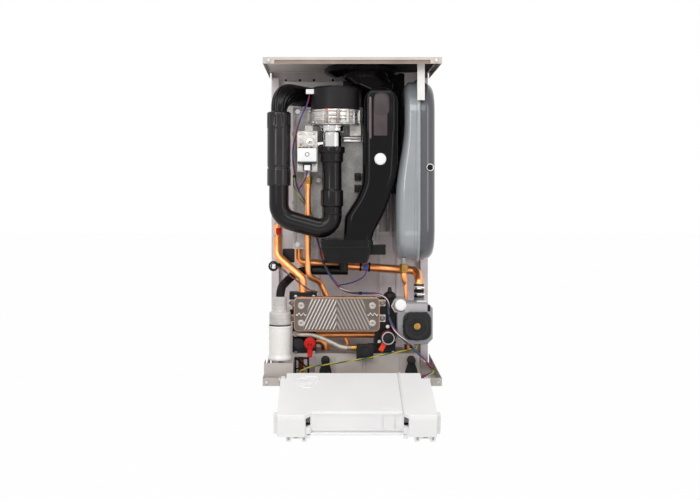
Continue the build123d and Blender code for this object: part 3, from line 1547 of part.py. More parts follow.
def make_motor_cover():
    """Build the motor's octagonal cover with its terminal box and the seat of the brass plug."""
    front = pump_front + cover_thick
    outline = extrude(RegularPolygon(pump_face + 1, 8), cover_plate)
    cover = Pos(at(pump_x, pump_front, pump_z)) * Rot(90, 0, 0) * outline
    cover += forward(pump_x, (pump_front, front), pump_z, pump_face - 3)
    box_x = (pump_x + cover_box_x[0], pump_x + cover_box_x[1])
    cover += block(box_x, (pump_front, front), (pump_z + cover_box_z[0], pump_z + cover_box_z[1]))
    cover -= forward(pump_x, (front - cover_recess_depth, front), pump_z, cover_recess)
    cover += forward(pump_x, (pump_front, pump_front + plug_boss_front), plug_z, plug_boss)
    seat = (pump_front + plug_seat_d[0], pump_front + plug_seat_d[1])
    return cover - forward(pump_x, seat, plug_z, plug_radius + plug_gap)


# ---------------------------------------------------------------- condensate and filling hoses
def make_hoses():
    """Build the siphon with its cup, the rubber drain hose and the metal filling hose."""
    neck = siphon_neck
    cap = siphon_cap
    tongue = siphon_radius - siphon_lip
    inside = tongue - siphon_wall
    body = turned([(drain_radius, siphon_top), (neck - 2, siphon_top), (neck, siphon_top - 4),
                   (neck, siphon_cap_top + 6), (neck + 4, siphon_cap_top + 1), (cap - 1, siphon_cap_top),
                   (cap, siphon_cap_top - 3), (cap, siphon_joint + 2), (cap - 2, siphon_joint),
                   (tongue, siphon_joint), (tongue, siphon_joint - siphon_skirt),
                   (inside, siphon_joint - siphon_skirt), (inside, siphon_cap_top - 6),
                   (neck - siphon_wall, siphon_cap_top - 2), (neck - siphon_wall, siphon_top - siphon_socket),
                   (drain_radius, siphon_top - siphon_socket)], siphon_x, siphon_d)
    add("siphon_body", body)

    rim = siphon_joint - cup_gap
    sleeve = tongue + run_gap
    bore = siphon_radius - cup_wall
    foot = siphon_radius + cup_foot
    band = siphon_radius + cup_band
    cup = turned([(0, siphon_foot), (foot, siphon_foot), (foot, siphon_foot + 6),
                  (siphon_radius, siphon_foot + 12), (siphon_radius, rim - 6), (band, rim - 5), (band, rim),
                  (sleeve, rim), (sleeve, rim - 20), (bore, rim - 22), (bore, siphon_foot + cup_wall),
                  (0, siphon_foot + cup_wall)], siphon_x, siphon_d)
    add("siphon_cup", cup)

    drain = [at(drain_end_x, drain_d, drain_z), at(-134, drain_d, drain_z), at(-169, 182, -514),
             at(siphon_x, siphon_d, -526), at(siphon_x, siphon_d, siphon_top - siphon_socket)]
    add("drain_hose", wire("drain hose", drain, drain_radius - plug_gap))

    fill = [at(-142, block_front, -641), at(-142, fill_d, -641), at(-92, fill_d, -641.5),
            at(-42, fill_d, -666), at(-22, fill_d, fill_z), at(ferrule_start, fill_d, fill_z)]
    add("filling_hose", wire("filling hose", fill, filling_radius))


# ---------------------------------------------------------------- wiring
def make_wiring():
    """Build the looms, the single wires and their white plugs, and the loop that crosses the hinge."""
    fan_plug = block(fan_plug_x, fan_plug_d, fan_plug_z)
    fan_plug -= upright(fan_x, fan_d, (fan_seam, fan_top), fan_radius)
    loom = [at(-108, 243, fan_plug_z[0]), at(-109, 243, -62), at(-136, 232, -112), at(-148, 216, -160),
            at(-147.5, 206, -215), at(-144, 196, -262), at(-114, 168, -310), at(-96, 170, -360),
            at(-84, 172, -420), at(-72, 196, -462), at(-52, 200, -500), at(-30, 198, -528), at(0, 198, -541),
            at(36, 198, -541), at(72, 208, -541), at(93, 226, -556), at(93.5, 229, -592), at(98, 244, -612),
            at(114, 263, -638), at(140, 273, -660), at(165, 273, -684), at(184, 276, -704)]
    pieces = [fan_plug, wire("loom", loom, loom_radius)]
    plug_back = valve_front + actuator_plug_proud + run_gap
    valve_plug = block(valve_plug_x, (plug_back, plug_back + valve_plug_depth - run_gap), valve_plug_z)
    gas = [at(-112, 234, valve_plug_z[0]), at(-113, 234, -244), at(-124, 226, -262), at(-133, 212, -275)]
    pieces += [valve_plug, wire("gas valve wire", gas, wire_radius)]
    flow_plug = block(flow_plug_x, flow_plug_d, flow_plug_z)
    flow = [at(flow_plug_x[1], 174.2, -474), at(-181, 188, -477), at(-160, 214, -492), at(-132, 226, -512),
            at(-104, 226, -533), at(-86, 216, left_block_top + 2)]
    pieces += [flow_plug, wire("flow sensor wire", flow, wire_radius)]
    back = [at(41, return_d + large_pipe + 8, -487.4), at(40, 134, -500), at(20, 150, -512),
            at(-8, 172, -520), at(-30, 188, -521)]
    pieces.append(wire("return sensor wire", back, wire_radius))
    earth = [at(-142, 262, floor_bottom + sheet), at(-142, 262, -734), at(-110, 266, -719),
             at(-62, 268, -711), at(-8, 268, -704), at(50, 268, -693), at(104, 266, -682),
             at(136, 260, -678), at(164, 238, -679), at(164, 238, pump_bottom - 0.1)]
    pieces.append(wire("earth wire", earth, earth_radius))
    add("wiring_loom", Compound(children=pieces))

    loop = [at(184, 276, -704), at(193.5, 277.5, -714), at(200, 298, -722), at(197, 316, -724),
            at(184, 322, -727), at(back_right, 323.4, -733)]
    add("hinge_loop", wire("hinge loop", loop, loom_radius))


# ---------------------------------------------------------------- control box
def slab(x, u, w):
    """Make a box in the control box's own frame: x, reach from the hinge, height above the hinge."""
    middle = (sum(x) / 2, -sum(u) / 2, sum(w) / 2)
    return Pos(*middle) * Box(x[1] - x[0], u[1] - u[0], w[1] - w[0])


def post(x, u, w, radius):
    """Make a cylinder square to the control box's face."""
    return Pos(x, -u, sum(w) / 2) * Cylinder(radius, w[1] - w[0])


def box_outline(w, inset):
    """Make the control box's plan, with its back corners and slanted lobes, between two heights."""
    plan = [(back_left, back_start), (back_right, back_start), (back_right, box_start),
            (box_right, box_start), (box_right, box_reach), (right_lobe, box_reach),
            (right_lobe - lobe_slant, box_middle), (left_lobe + lobe_slant, box_middle),
            (left_lobe, box_reach), (box_left, box_reach), (box_left, box_start), (back_left, box_start)]
    face = make_face(Polyline(*[(x, -u) for x, u in plan], close=True))
    if inset:
        face = offset(face, amount=-inset, kind=Kind.INTERSECTION)
    return Pos(0, 0, w[0]) * extrude(face, amount=w[1] - w[0], dir=(0, 0, 1))


def hang(shape):
    """Put a piece of the control box on the hinge, let down to its resting tilt."""
    return Pos(at(0, hinge_d, hinge_z)) * Rot(hinge_tilt, 0, 0) * shape


def lobe_walls():
    """List the slanted walls of the two front lobes as their inner and outer ends along x."""
    return [(left_lobe, left_lobe + lobe_slant), (right_lobe - lobe_slant, right_lobe)]


def make_control_box():
    """Build the control box: housing with its trunnions, lid, board, window, knobs and buttons."""
    floor = box_floor + box_wall
    add("control_housing", hang(make_housing(floor)))

    lid = box_outline((box_rim, box_top), 0)
    lid = fillet(lid.edges().filter_by(Axis.Z), box_edge)
    lid = fillet(lid.faces().sort_by(Axis.Z)[-1].edges(), lid_edge)
    lid -= box_outline((box_rim, box_top - box_wall), box_wall)
    groove = (right_lobe - lobe_slant, right_lobe - lobe_slant + lid_groove)
    lid -= slab(groove, (0, box_reach), (box_top - lid_groove_depth, box_top))
    for x0, x1, u0, u1 in lid_ribs:
        lid += slab((x0, x1), (u0, u1), (box_top - lid_sink, box_top + lid_rib_height))
    x0, x1, u0, u1 = lid_pad
    lid += slab((x0, x1), (u0, u1), (box_top - lid_sink, box_top + lid_pad_height))
    lid -= slab((back_right - box_wall, back_right), cable_slot, (box_rim, box_top - box_wall))
    add("control_lid", hang(lid))

    level = board_level + board_thick
    board = slab(board_x, board_u, (board_level, level))
    for x0, x1, u0, u1, high in components:
        board += slab((x0, x1), (u0, u1), (level, level + high))
    for x in knob_x:
        collar = (floor + knob_collar_gap, board_level)
        board += post(x, knob_u, collar, knob_collar)
        board -= post(x, knob_u, collar, knob_shaft + run_gap)
    add("circuit_board", hang(board))

    half_x, half_u = window_size[0] / 2, window_size[1] / 2
    window = slab(around(window_x, half_x), around(window_u, half_u), (box_floor, floor + 1))
    window += slab(around(window_x, half_x + window_rim), around(window_u, half_u + window_rim),
                   (floor, floor + box_wall))
    add("display_window", hang(window))
    make_controls(floor)


def make_housing(floor):
    """Build the housing: tray with arms, trunnions, hooks, latches, vents and board posts."""
    housing = box_outline((box_floor, box_rim), 0)
    housing = fillet(housing.edges().filter_by(Axis.Z), box_edge)
    housing -= box_outline((floor, box_rim), box_wall)
    near, step, far = side_hook_u
    for edge, tip in ((box_left, -1), (box_right, 1)):
        arm = sorted((edge, edge - tip * arm_width))
        housing += slab(arm, (0, box_start + 1), (-arm_radius, arm_radius))
        housing += Rot(0, 90, 0) * Pos(0, 0, sum(arm) / 2) * Cylinder(arm_radius, arm_width)
        pin_middle = edge + tip * trunnion_reach / 2
        housing += Pos(pin_middle, 0, 0) * Rot(0, 90, 0) * Cylinder(trunnion, trunnion_reach)
        hook = sorted((edge, edge + tip * side_hook))
        housing += slab(hook, (step, far), (box_floor, box_rim))
        housing += slab(hook, (near, far), (box_rim - side_hook_drop, box_rim))
    for low in (box_left + latch_inset[0], box_right - latch_inset[1] - latch_width):
        high = low + latch_width
        housing += slab((low, high), latch_u, (box_floor - latch_catch, box_floor + 1))
        for foot in ((low, low + latch_catch * 1.5), (high - latch_catch * 1.5, high)):
            housing += slab(foot, latch_u, (latch_low, box_floor))
    for wall in lobe_walls():
        gap = (wall[0] + vent_margin, wall[1] - vent_margin)
        housing -= slab(gap, (box_middle - 2 * box_wall, box_reach), vent_height)
        housing += slab(gap, (box_middle - 1, latch_u[1]), (box_floor - latch_catch, corner_block_top))
    for x in board_posts[0]:
        for u in board_posts[1]:
            housing += post(x, u, (floor, board_level), board_post_radius)
    for x in knob_x:
        housing -= post(x, knob_u, (box_floor, floor), knob_shaft + run_gap)
    for x in button_x:
        housing -= post(x, button_u, (box_floor, floor), button_radius + run_gap)
    hole = (window_size[0] / 2 + plug_gap, window_size[1] / 2 + plug_gap)
    housing -= slab(around(window_x, hole[0]), around(window_u, hole[1]), (box_floor, floor))
    housing -= slab((back_right - box_wall, back_right), cable_slot, (box_rim - cable_slot_drop, box_rim))
    return housing


def make_controls(floor):
    """Build the two temperature knobs and the two push buttons on the control box's face."""
    low = box_floor - run_gap
    for name, x in zip(("temperature_knob_left", "temperature_knob_right"), knob_x):
        knob = post(x, knob_u, (low - knob_height, low), knob_radius)
        knob = chamfer(knob.edges().sort_by(Axis.Z)[0], knob_edge)
        line_w = (low - knob_height, low - knob_height + knob_line)
        knob -= slab(around(x, knob_line), (knob_u, knob_u + knob_radius), line_w)
        knob += post(x, knob_u, (low, board_level - run_gap), knob_shaft)
        add(name, hang(knob))
    rim_top = floor + button_rim
    for name, x in zip(("mode_button", "reset_button"), button_x):
        button = post(x, button_u, (box_floor - button_proud, rim_top), button_radius)
        button += post(x, button_u, (floor + run_gap, rim_top), button_radius + button_rim)
        button += post(x, button_u, (rim_top, board_level - button_travel - run_gap), button_rim)
        add(name, hang(button))


makers = (make_cell, make_fan, make_air_path, make_flue, make_gas, make_vessel, make_pipes, make_exchanger,
          make_blocks, make_pump, make_hoses, make_wiring, make_control_box)
for maker in makers:
    maker()
add("top_plate", make_top_plate())
add("back_panel", make_back_panel())
add("bottom_tray", make_bottom_tray())
add("mounting_brackets", make_brackets())
add("frame_screws", make_screws())
for name, shape in parts.items():
    export_step(shape, f"parts/{name}.step")
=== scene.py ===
"""Looks of a wall-hung combi boiler with its casing off and its control box hinged down.

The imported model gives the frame: every node keeps its place, and the pieces made here sit on it.
Sizes are in millimetres, as (x, d, z): x to the right, d out of the wall into the room, z up.
"""

import json
import logging
import math
from dataclasses import dataclass, field
from enum import Enum
from typing import Any, Callable, ClassVar, Sequence

import bmesh
import bpy
import numpy as np
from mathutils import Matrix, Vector

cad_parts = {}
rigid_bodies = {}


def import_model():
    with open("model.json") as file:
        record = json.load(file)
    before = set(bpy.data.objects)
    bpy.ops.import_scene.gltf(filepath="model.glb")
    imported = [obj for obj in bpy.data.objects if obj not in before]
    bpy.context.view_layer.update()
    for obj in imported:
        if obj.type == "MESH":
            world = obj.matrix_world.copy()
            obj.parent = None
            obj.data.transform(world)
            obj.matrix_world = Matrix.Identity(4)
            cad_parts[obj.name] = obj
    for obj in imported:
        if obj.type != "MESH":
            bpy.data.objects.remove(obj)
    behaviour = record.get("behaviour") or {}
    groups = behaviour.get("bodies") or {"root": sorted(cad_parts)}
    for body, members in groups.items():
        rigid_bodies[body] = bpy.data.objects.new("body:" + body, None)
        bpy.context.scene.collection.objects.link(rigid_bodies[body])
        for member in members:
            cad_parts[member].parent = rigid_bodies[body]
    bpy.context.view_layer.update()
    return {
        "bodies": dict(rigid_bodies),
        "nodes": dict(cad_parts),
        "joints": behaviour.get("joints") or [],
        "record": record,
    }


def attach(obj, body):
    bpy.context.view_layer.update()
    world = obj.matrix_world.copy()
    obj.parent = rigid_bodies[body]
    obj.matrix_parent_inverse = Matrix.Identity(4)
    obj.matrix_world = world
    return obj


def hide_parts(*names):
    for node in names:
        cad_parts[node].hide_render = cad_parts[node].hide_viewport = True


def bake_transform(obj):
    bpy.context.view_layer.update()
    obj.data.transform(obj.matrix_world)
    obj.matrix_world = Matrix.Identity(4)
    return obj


LOG = logging.getLogger("boiler")
MM = 0.001
FULL_TURN = 2 * math.pi
QUARTER_TURN = math.pi / 2
GOLDEN_ANGLE = math.pi * (3 - math.sqrt(5))
HINGE_D, HINGE_Z = 305.0, -742.0
BOX_TILT = math.radians(17.0)
PIPE_END_Z = -790.0
TAIL_D = 150.0

Point = tuple[float, float, float]
Span = tuple[float, float]
Fluting = Callable[[np.ndarray, np.ndarray], np.ndarray]
Tree = bpy.types.NodeTree
Socket = bpy.types.NodeSocket


def at(x: Any, d: Any, z: Any) -> np.ndarray:
    """Give points in metres from x, the distance d into the room and the height z in millimetres."""
    x, d, z = np.broadcast_arrays(np.asarray(x, float), np.asarray(d, float), np.asarray(z, float))
    return np.stack([x, -d, z], axis=-1) * MM


# ------------------------------------------------------------------ colour and shader tools
def linear(colour: str) -> tuple[float, float, float, float]:
    """Turn an sRGB hex colour into linear red, green, blue and alpha.

    Args:
        colour: six hex digits after a hash.

    Returns:
        The four linear channels.
    """
    channels = [int(colour[i:i + 2], 16) / 255 for i in (1, 3, 5)]
    curve = [c / 12.92 if c <= 0.04045 else ((c + 0.055) / 1.055) ** 2.4 for c in channels]
    return curve[0], curve[1], curve[2], 1.0


def add_node(tree: Tree, kind: str, settings: dict[str | int, Any] | None = None,
             links: dict[str | int, Socket] | None = None) -> bpy.types.Node:
    """Add a shader node with its settings and links.

    Args:
        tree: the node tree that it joins.
        kind: Blender's name of the node type, after "ShaderNode".
        settings: values for the node's own properties, or else for its inputs.
        links: an output socket for each input that is driven.

    Returns:
        The new node.
    """
    node = tree.nodes.new("ShaderNode" + kind)
    for key, value in (settings or {}).items():
        if isinstance(key, str) and hasattr(node, key):
            setattr(node, key, value)
        else:
            node.inputs[key].default_value = value
    for key, socket in (links or {}).items():
        tree.links.new(socket, node.inputs[key])
    return node


def noise(tree: Tree, place: Socket, scale: float, detail: float = 2.0) -> Socket:
    """Add soft noise of the given scale, in waves to the metre, and give its grey value."""
    return add_node(tree, "TexNoise", {"Scale": scale, "Detail": detail}, {"Vector": place}).outputs["Fac"]


def map_range(tree: Tree, value: Socket, source: Span = (0.0, 1.0), target: Span = (0.0, 1.0)) -> Socket:
    """Carry a value from one range to another, and stop it at the ends."""
    return add_node(tree, "MapRange", {"From Min": source[0], "From Max": source[1], "To Min": target[0],
                                       "To Max": target[1]}, {"Value": value}).outputs[0]


def mix_colours(tree: Tree, share: Socket, first: str, second: str) -> Socket:
    """Mix two hex colours by the share of the second."""
    mixed = add_node(tree, "Mix", {"data_type": "RGBA", 6: linear(first), 7: linear(second)}, {0: share})
    return mixed.outputs[2]


def greater(tree: Tree, first: Socket, second: Socket) -> Socket:
    """Give the greater of two values."""
    return add_node(tree, "Math", {"operation": "MAXIMUM"}, {0: first, 1: second}).outputs[0]


def fresh_tree(owner: bpy.types.Material | bpy.types.World) -> Tree:
    """Give a material or a world an empty node tree."""
    owner.use_nodes = True
    owner.node_tree.nodes.clear()
    return owner.node_tree


class Pattern(Enum):
    """How a surface's texture was made."""

    GRAIN = "grain"
    BRUSHED = "brushed"
    SPECKLED = "speckled"


@dataclass(frozen=True)
class Finish:
    """A finish: the material's common name, its colours and what its surface shows."""

    name: str
    colour: str
    roughness: float
    metallic: float = 0.0
    second: str = ""
    patch_mm: float = 60.0
    grain_mm: float = 0.8
    bump_mm: float = 0.03
    pattern: Pattern = Pattern.GRAIN
    coat: float = 0.0
    transmission: float = 0.0
    subsurface: float = 0.0
    roughness_swing: float = 0.06
    specular: float = 0.5

    patch_range: ClassVar[Span] = (0.375, 0.675)
    speck_range: ClassVar[Span] = (0.35, 0.7)
    speck_shades: ClassVar[Span] = (0.72, 1.18)
    gloss_range: ClassVar[Span] = (0.3, 0.7)
    brush_stretch: ClassVar[float] = 0.05
    bump_strength: ClassVar[float] = 0.6
    scatter_mm: ClassVar[float] = 3.0

    def material(self) -> bpy.types.Material:
        """Build the node material, or return it if an earlier piece has made it."""
        made = bpy.data.materials.get(self.name)
        if made:
            return made
        made = bpy.data.materials.new(self.name)
        tree = fresh_tree(made)
        place = add_node(tree, "TexCoord").outputs["Object"]
        shader = add_node(tree, "BsdfPrincipled", {
            "Metallic": self.metallic, "Coat Weight": self.coat, "Transmission Weight": self.transmission,
            "Subsurface Weight": self.subsurface, "Subsurface Scale": self.scatter_mm * MM,
            "Specular IOR Level": self.specular})
        tree.links.new(self.paint(tree, place), shader.inputs["Base Color"])
        self.roughen(tree, place, shader)
        add_node(tree, "OutputMaterial", links={"Surface": shader.outputs[0]})
        return made

    def paint(self, tree: Tree, place: Socket) -> Socket:
        """Colour the surface: broad soft patches of a second tone, with specks where it has them."""
        patches = map_range(tree, noise(tree, place, 1 / (self.patch_mm * MM), 4.0), self.patch_range)
        colour = mix_colours(tree, patches, self.colour, self.second or self.colour)
        if self.pattern is not Pattern.SPECKLED:
            return colour
        specks = noise(tree, place, 1 / (self.grain_mm * MM))
        shade = map_range(tree, specks, self.speck_range, self.speck_shades)
        return add_node(tree, "VectorMath", {"operation": "SCALE"}, {0: colour, "Scale": shade}).outputs[0]

    def roughen(self, tree: Tree, place: Socket, shader: bpy.types.Node) -> None:
        """Give the surface its fine relief and let its gloss vary a little from place to place."""
        along = self.brush_stretch if self.pattern is Pattern.BRUSHED else 1.0
        stretch = [scale / (self.grain_mm * MM) for scale in (along, 1.0, 1.0)]
        mapped = add_node(tree, "Mapping", {"Scale": stretch}, {"Vector": place}).outputs[0]
        bump = add_node(tree, "Bump", {"Strength": self.bump_strength, "Distance": self.bump_mm * MM},
                        {"Height": noise(tree, mapped, 1.0, 3.0)})
        tree.links.new(bump.outputs[0], shader.inputs["Normal"])
        gloss = map_range(tree, noise(tree, place, 1 / (self.patch_mm * 0.6 * MM)), self.gloss_range,
                          (self.roughness - self.roughness_swing, self.roughness + self.roughness_swing))
        tree.links.new(gloss, shader.inputs["Roughness"])


@dataclass(frozen=True)
class HeightShadedFinish(Finish):
    """A pressed sheet whose valleys are painted darker than its crests as painted shade: the colour follows
    the height.
    """

    # Colour of the painted shade in the valleys.
    valley: str = "#625954"
    low_mm: float = 251.9
    high_mm: float = 253.8

    def paint(self, tree: Tree, place: Socket) -> Socket:
        """Mix from the valley's painted shade to the crest's colour with the distance out of the wall."""
        depth = add_node(tree, "SeparateXYZ", links={0: place}).outputs[1]
        level = map_range(tree, depth, (-self.low_mm * MM, -self.high_mm * MM))
        return mix_colours(tree, level, self.valley, self.colour)


# Powder coat, baked on: an even satin white with a fine orange-peel relief.
POWDER_WHITE = Finish("powder_coat_white", "#E6E4E0", 0.42, second="#DEDBD6", grain_mm=2.2, bump_mm=0.05)
# Coil-coated steel: a warm grey film, duller than powder coat, that picks up slight handling marks.
COATED_GREY = Finish("coil_coat_grey", "#B3ABA5", 0.5, second="#A89F99", grain_mm=1.5, bump_mm=0.04)
# The same coating on the top plate, a shade paler.
TOP_GREY = Finish("coil_coat_pale_grey", "#BFB6AF", 0.48, second="#B4ABA4", grain_mm=1.5, bump_mm=0.04)
# Hot-dip galvanised sheet of the back panel: pale, with faint clouds.
BACK_GREY = Finish("skin_passed_galvanised_sheet", "#E2D8D9", 0.5, second="#D0C6C7", patch_mm=40,
                   grain_mm=1.2, bump_mm=0.04)
# Zinc-plated steel: pale and bluish with a soft spangle.
ZINC = Finish("zinc_plate", "#BDBDBB", 0.38, 0.85, "#9C9DA0", patch_mm=9)
# Die-cast aluminium: bright, with the fine pitted skin of the mould.
DIE_CAST = Finish("die_cast_aluminium", "#BBB7B3", 0.42, 0.85, "#9D9995", patch_mm=14, grain_mm=0.9,
                  bump_mm=0.12)
# Machined faces on the same casting: mirror-bright rings.
BRIGHT_CAST = Finish("turned_aluminium", "#CDC9C5", 0.24, 0.9, "#BFBBB7", patch_mm=20, grain_mm=0.6,
                     bump_mm=0.02)
# Sand-cast aluminium: pale grey and granular.
SAND_CAST = Finish("sand_cast_aluminium", "#BDBAB7", 0.55, 0.35, "#A29F9D", patch_mm=30, grain_mm=1.6,
                   bump_mm=0.25, pattern=Pattern.SPECKLED)
# Moulded polypropylene: black and waxy, with broad soft highlights.
BLACK_PP = Finish("moulded_polypropylene_black", "#0D0B0C", 0.2, second="#131112", grain_mm=1.6,
                  bump_mm=0.02, specular=0.2)
# Spark-textured nylon: charcoal, with a fine even sheen.
CHARCOAL_NYLON = Finish("textured_nylon_charcoal", "#211D1F", 0.2, second="#1B1718", bump_mm=0.01,
                        specular=0.32)
# Glass-filled nylon of the fan's cover: darker, with a fine even grain.
FAN_NYLON = Finish("grained_nylon_black", "#181618", 0.42, second="#1E1B1D", bump_mm=0.08, specular=0.16)
# Blow-moulded polypropylene from a polished mould: smoother, with sharper highlights.
BLACK_GLOSS = Finish("blow_moulded_polypropylene_black", "#090708", 0.15, second="#0D0B0C", patch_mm=80,
                     grain_mm=3.0, specular=0.15)
# Satin polypropylene of the U pipe and the mixing pipe.
SATIN_PP = Finish("satin_polypropylene_black", "#141112", 0.2, second="#191517", grain_mm=1.4, bump_mm=0.02,
                  specular=0.22)
# A stippled panel of the duct, which looks browner and lighter.
PANEL_BROWN = Finish("stippled_polypropylene_brown_black", "#41383A", 0.36, second="#382F31", grain_mm=0.9,
                     bump_mm=0.12, specular=0.3)
# The polished bead beside that panel, painted lighter as a highlight along the panel's left edge.
BEAD_PAINTED_HIGHLIGHT = Finish("polypropylene_brown_painted_highlight", "#5A4D50", 0.15, second="#4C4043", grain_mm=1.2)
# Nitrile gasket with a green cast.
GASKET = Finish("nitrile_gasket", "#18211F", 0.5, second="#10201C", bump_mm=0.04)
# Closed-cell foam strip: beige and dull.
BEIGE_FOAM = Finish("closed_cell_foam_beige", "#948679", 0.8, second="#857869", bump_mm=0.1)
# Glass-filled nylon: black with faint grey flow marks.
GLASS_FILLED = Finish("glass_filled_nylon_black", "#151415", 0.42, second="#201E20", patch_mm=16,
                      grain_mm=0.9, bump_mm=0.1, specular=0.2)
# Glass-filled polyester of the pump motor's cover: black with a satin skin.
MOTOR_BLACK = Finish("glass_filled_polyester_black", "#171516", 0.34, second="#1D1B1C", patch_mm=30,
                     grain_mm=0.9, bump_mm=0.06, specular=0.3)
# ABS: clean white, moulded with a very fine sand texture.
WHITE_ABS = Finish("abs_white", "#E3E3E2", 0.45, second="#DDDDDE", grain_mm=0.7)
# ABS of the control box: a soft sheen and faint sink marks.
BOX_WHITE = Finish("abs_box_white", "#E3E2E1", 0.42, second="#DEDDDD", patch_mm=120, grain_mm=1.4)
# The same ABS on the lid, a little glossier, and painted a shade lighter than the housing as painted light.
LID_WHITE_PAINTED_LIGHTER = Finish("abs_lid_white_painted_lighter", "#E8E7E6", 0.4, second="#E4E3E3", patch_mm=120, grain_mm=1.4)
# A grey strip in the lid's groove: painted shadow on the groove's left wall.
GROOVE_SHADOW_GREY = Finish("painted_groove_shadow_grey", "#C2BFBD", 0.8, bump_mm=0.06)
# Moulded grilles and catches in a cooler grey.
GRILLE_GREY = Finish("abs_cool_grey", "#A3A8A8", 0.5, second="#989D9D", bump_mm=0.04)
# Cloudy polypropylene of the siphon's body: greyer than the cup.
CLOUDY_PP = Finish("polypropylene_cloudy", "#C2BEBA", 0.28, second="#AEAAA6", patch_mm=30, grain_mm=3.0,
                   bump_mm=0.02, subsurface=0.08)
# Unpigmented polypropylene of the cup: milky, lets a little light in.
MILKY_PP = Finish("polypropylene_milky", "#E2DFDC", 0.26, second="#D9D5D1", grain_mm=3.0, bump_mm=0.02,
                  subsurface=0.05)
# Acetal: saturated colours with a soft sheen.
RED_ACETAL = Finish("acetal_red", "#B8100A", 0.33, second="#A60D07", grain_mm=1.0, specular=0.2)
BLUE_ACETAL = Finish("acetal_blue", "#2450B8", 0.35, second="#1D439C", grain_mm=1.0)
ORANGE_ACETAL = Finish("acetal_orange_red", "#EE4423", 0.35, second="#DB3A1A", grain_mm=1.0, specular=0.3)
DEEP_RED = Finish("acetal_red_in_shade", "#7A120D", 0.5, grain_mm=1.0)
# Drawn copper pipe: warm and bright, darker where it was handled and heated.
COPPER = Finish("drawn_copper", "#FFB073", 0.36, 0.88, "#F29A5B", patch_mm=40, grain_mm=4.0, bump_mm=0.01,
                roughness_swing=0.04)
# Machined brass: yellow, with fine turning lines.
BRASS = Finish("machined_brass", "#B08644", 0.32, 1.0, "#8E6A2E", patch_mm=10, grain_mm=0.6, bump_mm=0.02)
# Nickel-plated steel of small nuts: warm grey, gone dull.
DULL_NICKEL = Finish("dull_nickel_plate", "#8F857F", 0.4, 0.8, "#756C67", patch_mm=6, grain_mm=0.6)
# Stainless steel sheet: neutral, brushed along its length.
STAINLESS = Finish("brushed_stainless", "#C4BBB4", 0.3, 1.0, "#AAA19B", patch_mm=30, grain_mm=0.7,
                   bump_mm=0.04, pattern=Pattern.BRUSHED)
# Pressed stainless steel: bright crests over valleys painted browner and darker as shade.
PRESSED_STEEL = HeightShadedFinish("pressed_stainless_painted_valley_shade", "#D2CAC4", 0.32, 0.9, patch_mm=30, grain_mm=0.7,
                              bump_mm=0.04)
# Satin steel of turned rings: mid-grey, not mirror-bright.
SATIN_STEEL = Finish("satin_turned_steel", "#AFABAA", 0.36, 1.0, "#9D9998", patch_mm=12, grain_mm=0.6,
                     bump_mm=0.02)
# Woven steel over rubber: satin, greyer in the valleys of the weave.
BRAID = Finish("woven_steel_braid", "#BDB4A9", 0.5, 0.5, "#A69D93", patch_mm=12, bump_mm=0.05)
# Bright chrome on steel: mirror-like.
CHROME = Finish("bright_chrome", "#DAD9D8", 0.1, 1.0, "#CFCECD", grain_mm=1.0, bump_mm=0.01,
                roughness_swing=0.03)
# Enamelled steel of the vessel's shells: smooth grey paint with a clear gloss.
VESSEL_PAINT = Finish("baked_enamel_grey", "#8E9295", 0.2, second="#868A8D", patch_mm=90, grain_mm=3.0,
                      coat=0.5, roughness_swing=0.03, specular=0.7)
# The same enamel for the right shell, painted darker and bluer as its shade.
VESSEL_PAINT_SHADED = Finish("baked_enamel_grey_painted_shade", "#4E4E54", 0.22, second="#47474D", patch_mm=90, grain_mm=3.0,
                     coat=0.3, roughness_swing=0.03)
# EPDM rubber: deep black and dull.
RUBBER = Finish("epdm_rubber", "#0E0D0E", 0.55, second="#151415", bump_mm=0.06, specular=0.15)
# A black dull sheet on the back panel and under the top plate, put where there is only shade: painted shade.
SHADE_SHEET_BLACK = Finish("painted_shade_sheet_black", "#1B191A", 0.9, second="#242122", patch_mm=20, bump_mm=0.3,
                    specular=0.1)
# Painted casting and its painted plate: mid-grey over a slightly rough skin.
PUMP_GREY = Finish("painted_casting_grey", "#8A898B", 0.45, second="#7C7B7E", grain_mm=1.4, bump_mm=0.15)
SHOULDER_GREY = Finish("painted_plate_grey", "#A5A1A4", 0.4, second="#989598", grain_mm=1.2, bump_mm=0.06)
# Smoked polycarbonate: a dark clear window.
SMOKED = Finish("smoked_polycarbonate", "#15181B", 0.12, transmission=0.4, grain_mm=4.0, bump_mm=0.01)
# Solder mask over glass-epoxy laminate.
BOARD_GREEN = Finish("solder_mask_green", "#1E5B33", 0.35, second="#246B3C", patch_mm=8, grain_mm=1.0,
                     bump_mm=0.05)
# Textured polypropylene for knobs and buttons.
KNOB_GREY = Finish("textured_polypropylene_grey", "#5A5D61", 0.5, bump_mm=0.06)
# PVC wire insulation.
WIRE = {name: Finish(f"pvc_{name}", colour, 0.4, grain_mm=1.0, bump_mm=0.02, specular=0.3)
        for name, colour in {"red": "#8E1A1E", "blue": "#1D3A86", "green": "#175234", "yellow": "#B5A01E",
                             "white": "#CFCDCB", "brown": "#4F2B1A", "violet": "#40305A"}.items()}


# ------------------------------------------------------------------ camera, light and floor
@dataclass(frozen=True)
class Lamp:
    """A soft lamp that faces the middle of the boiler: its place, its width and height, and its watts."""

    name: str
    place: Point
    size: Span
    power: float
    aim: ClassVar[Point] = (0, 150, -350)

    def hang(self) -> None:
        """Make the lamp and turn it to its aim."""
        data = bpy.data.lights.new(self.name, "AREA")
        data.shape = "RECTANGLE"
        data.size, data.size_y = self.size[0] * MM, self.size[1] * MM
        data.energy = self.power
        lamp = bpy.data.objects.new(self.name, data)
        lamp.location = at(*self.place)
        way = at(*self.aim) - at(*self.place)
        lamp.rotation_euler = Vector(way).to_track_quat("-Z", "Y").to_euler()
        bpy.context.scene.collection.objects.link(lamp)


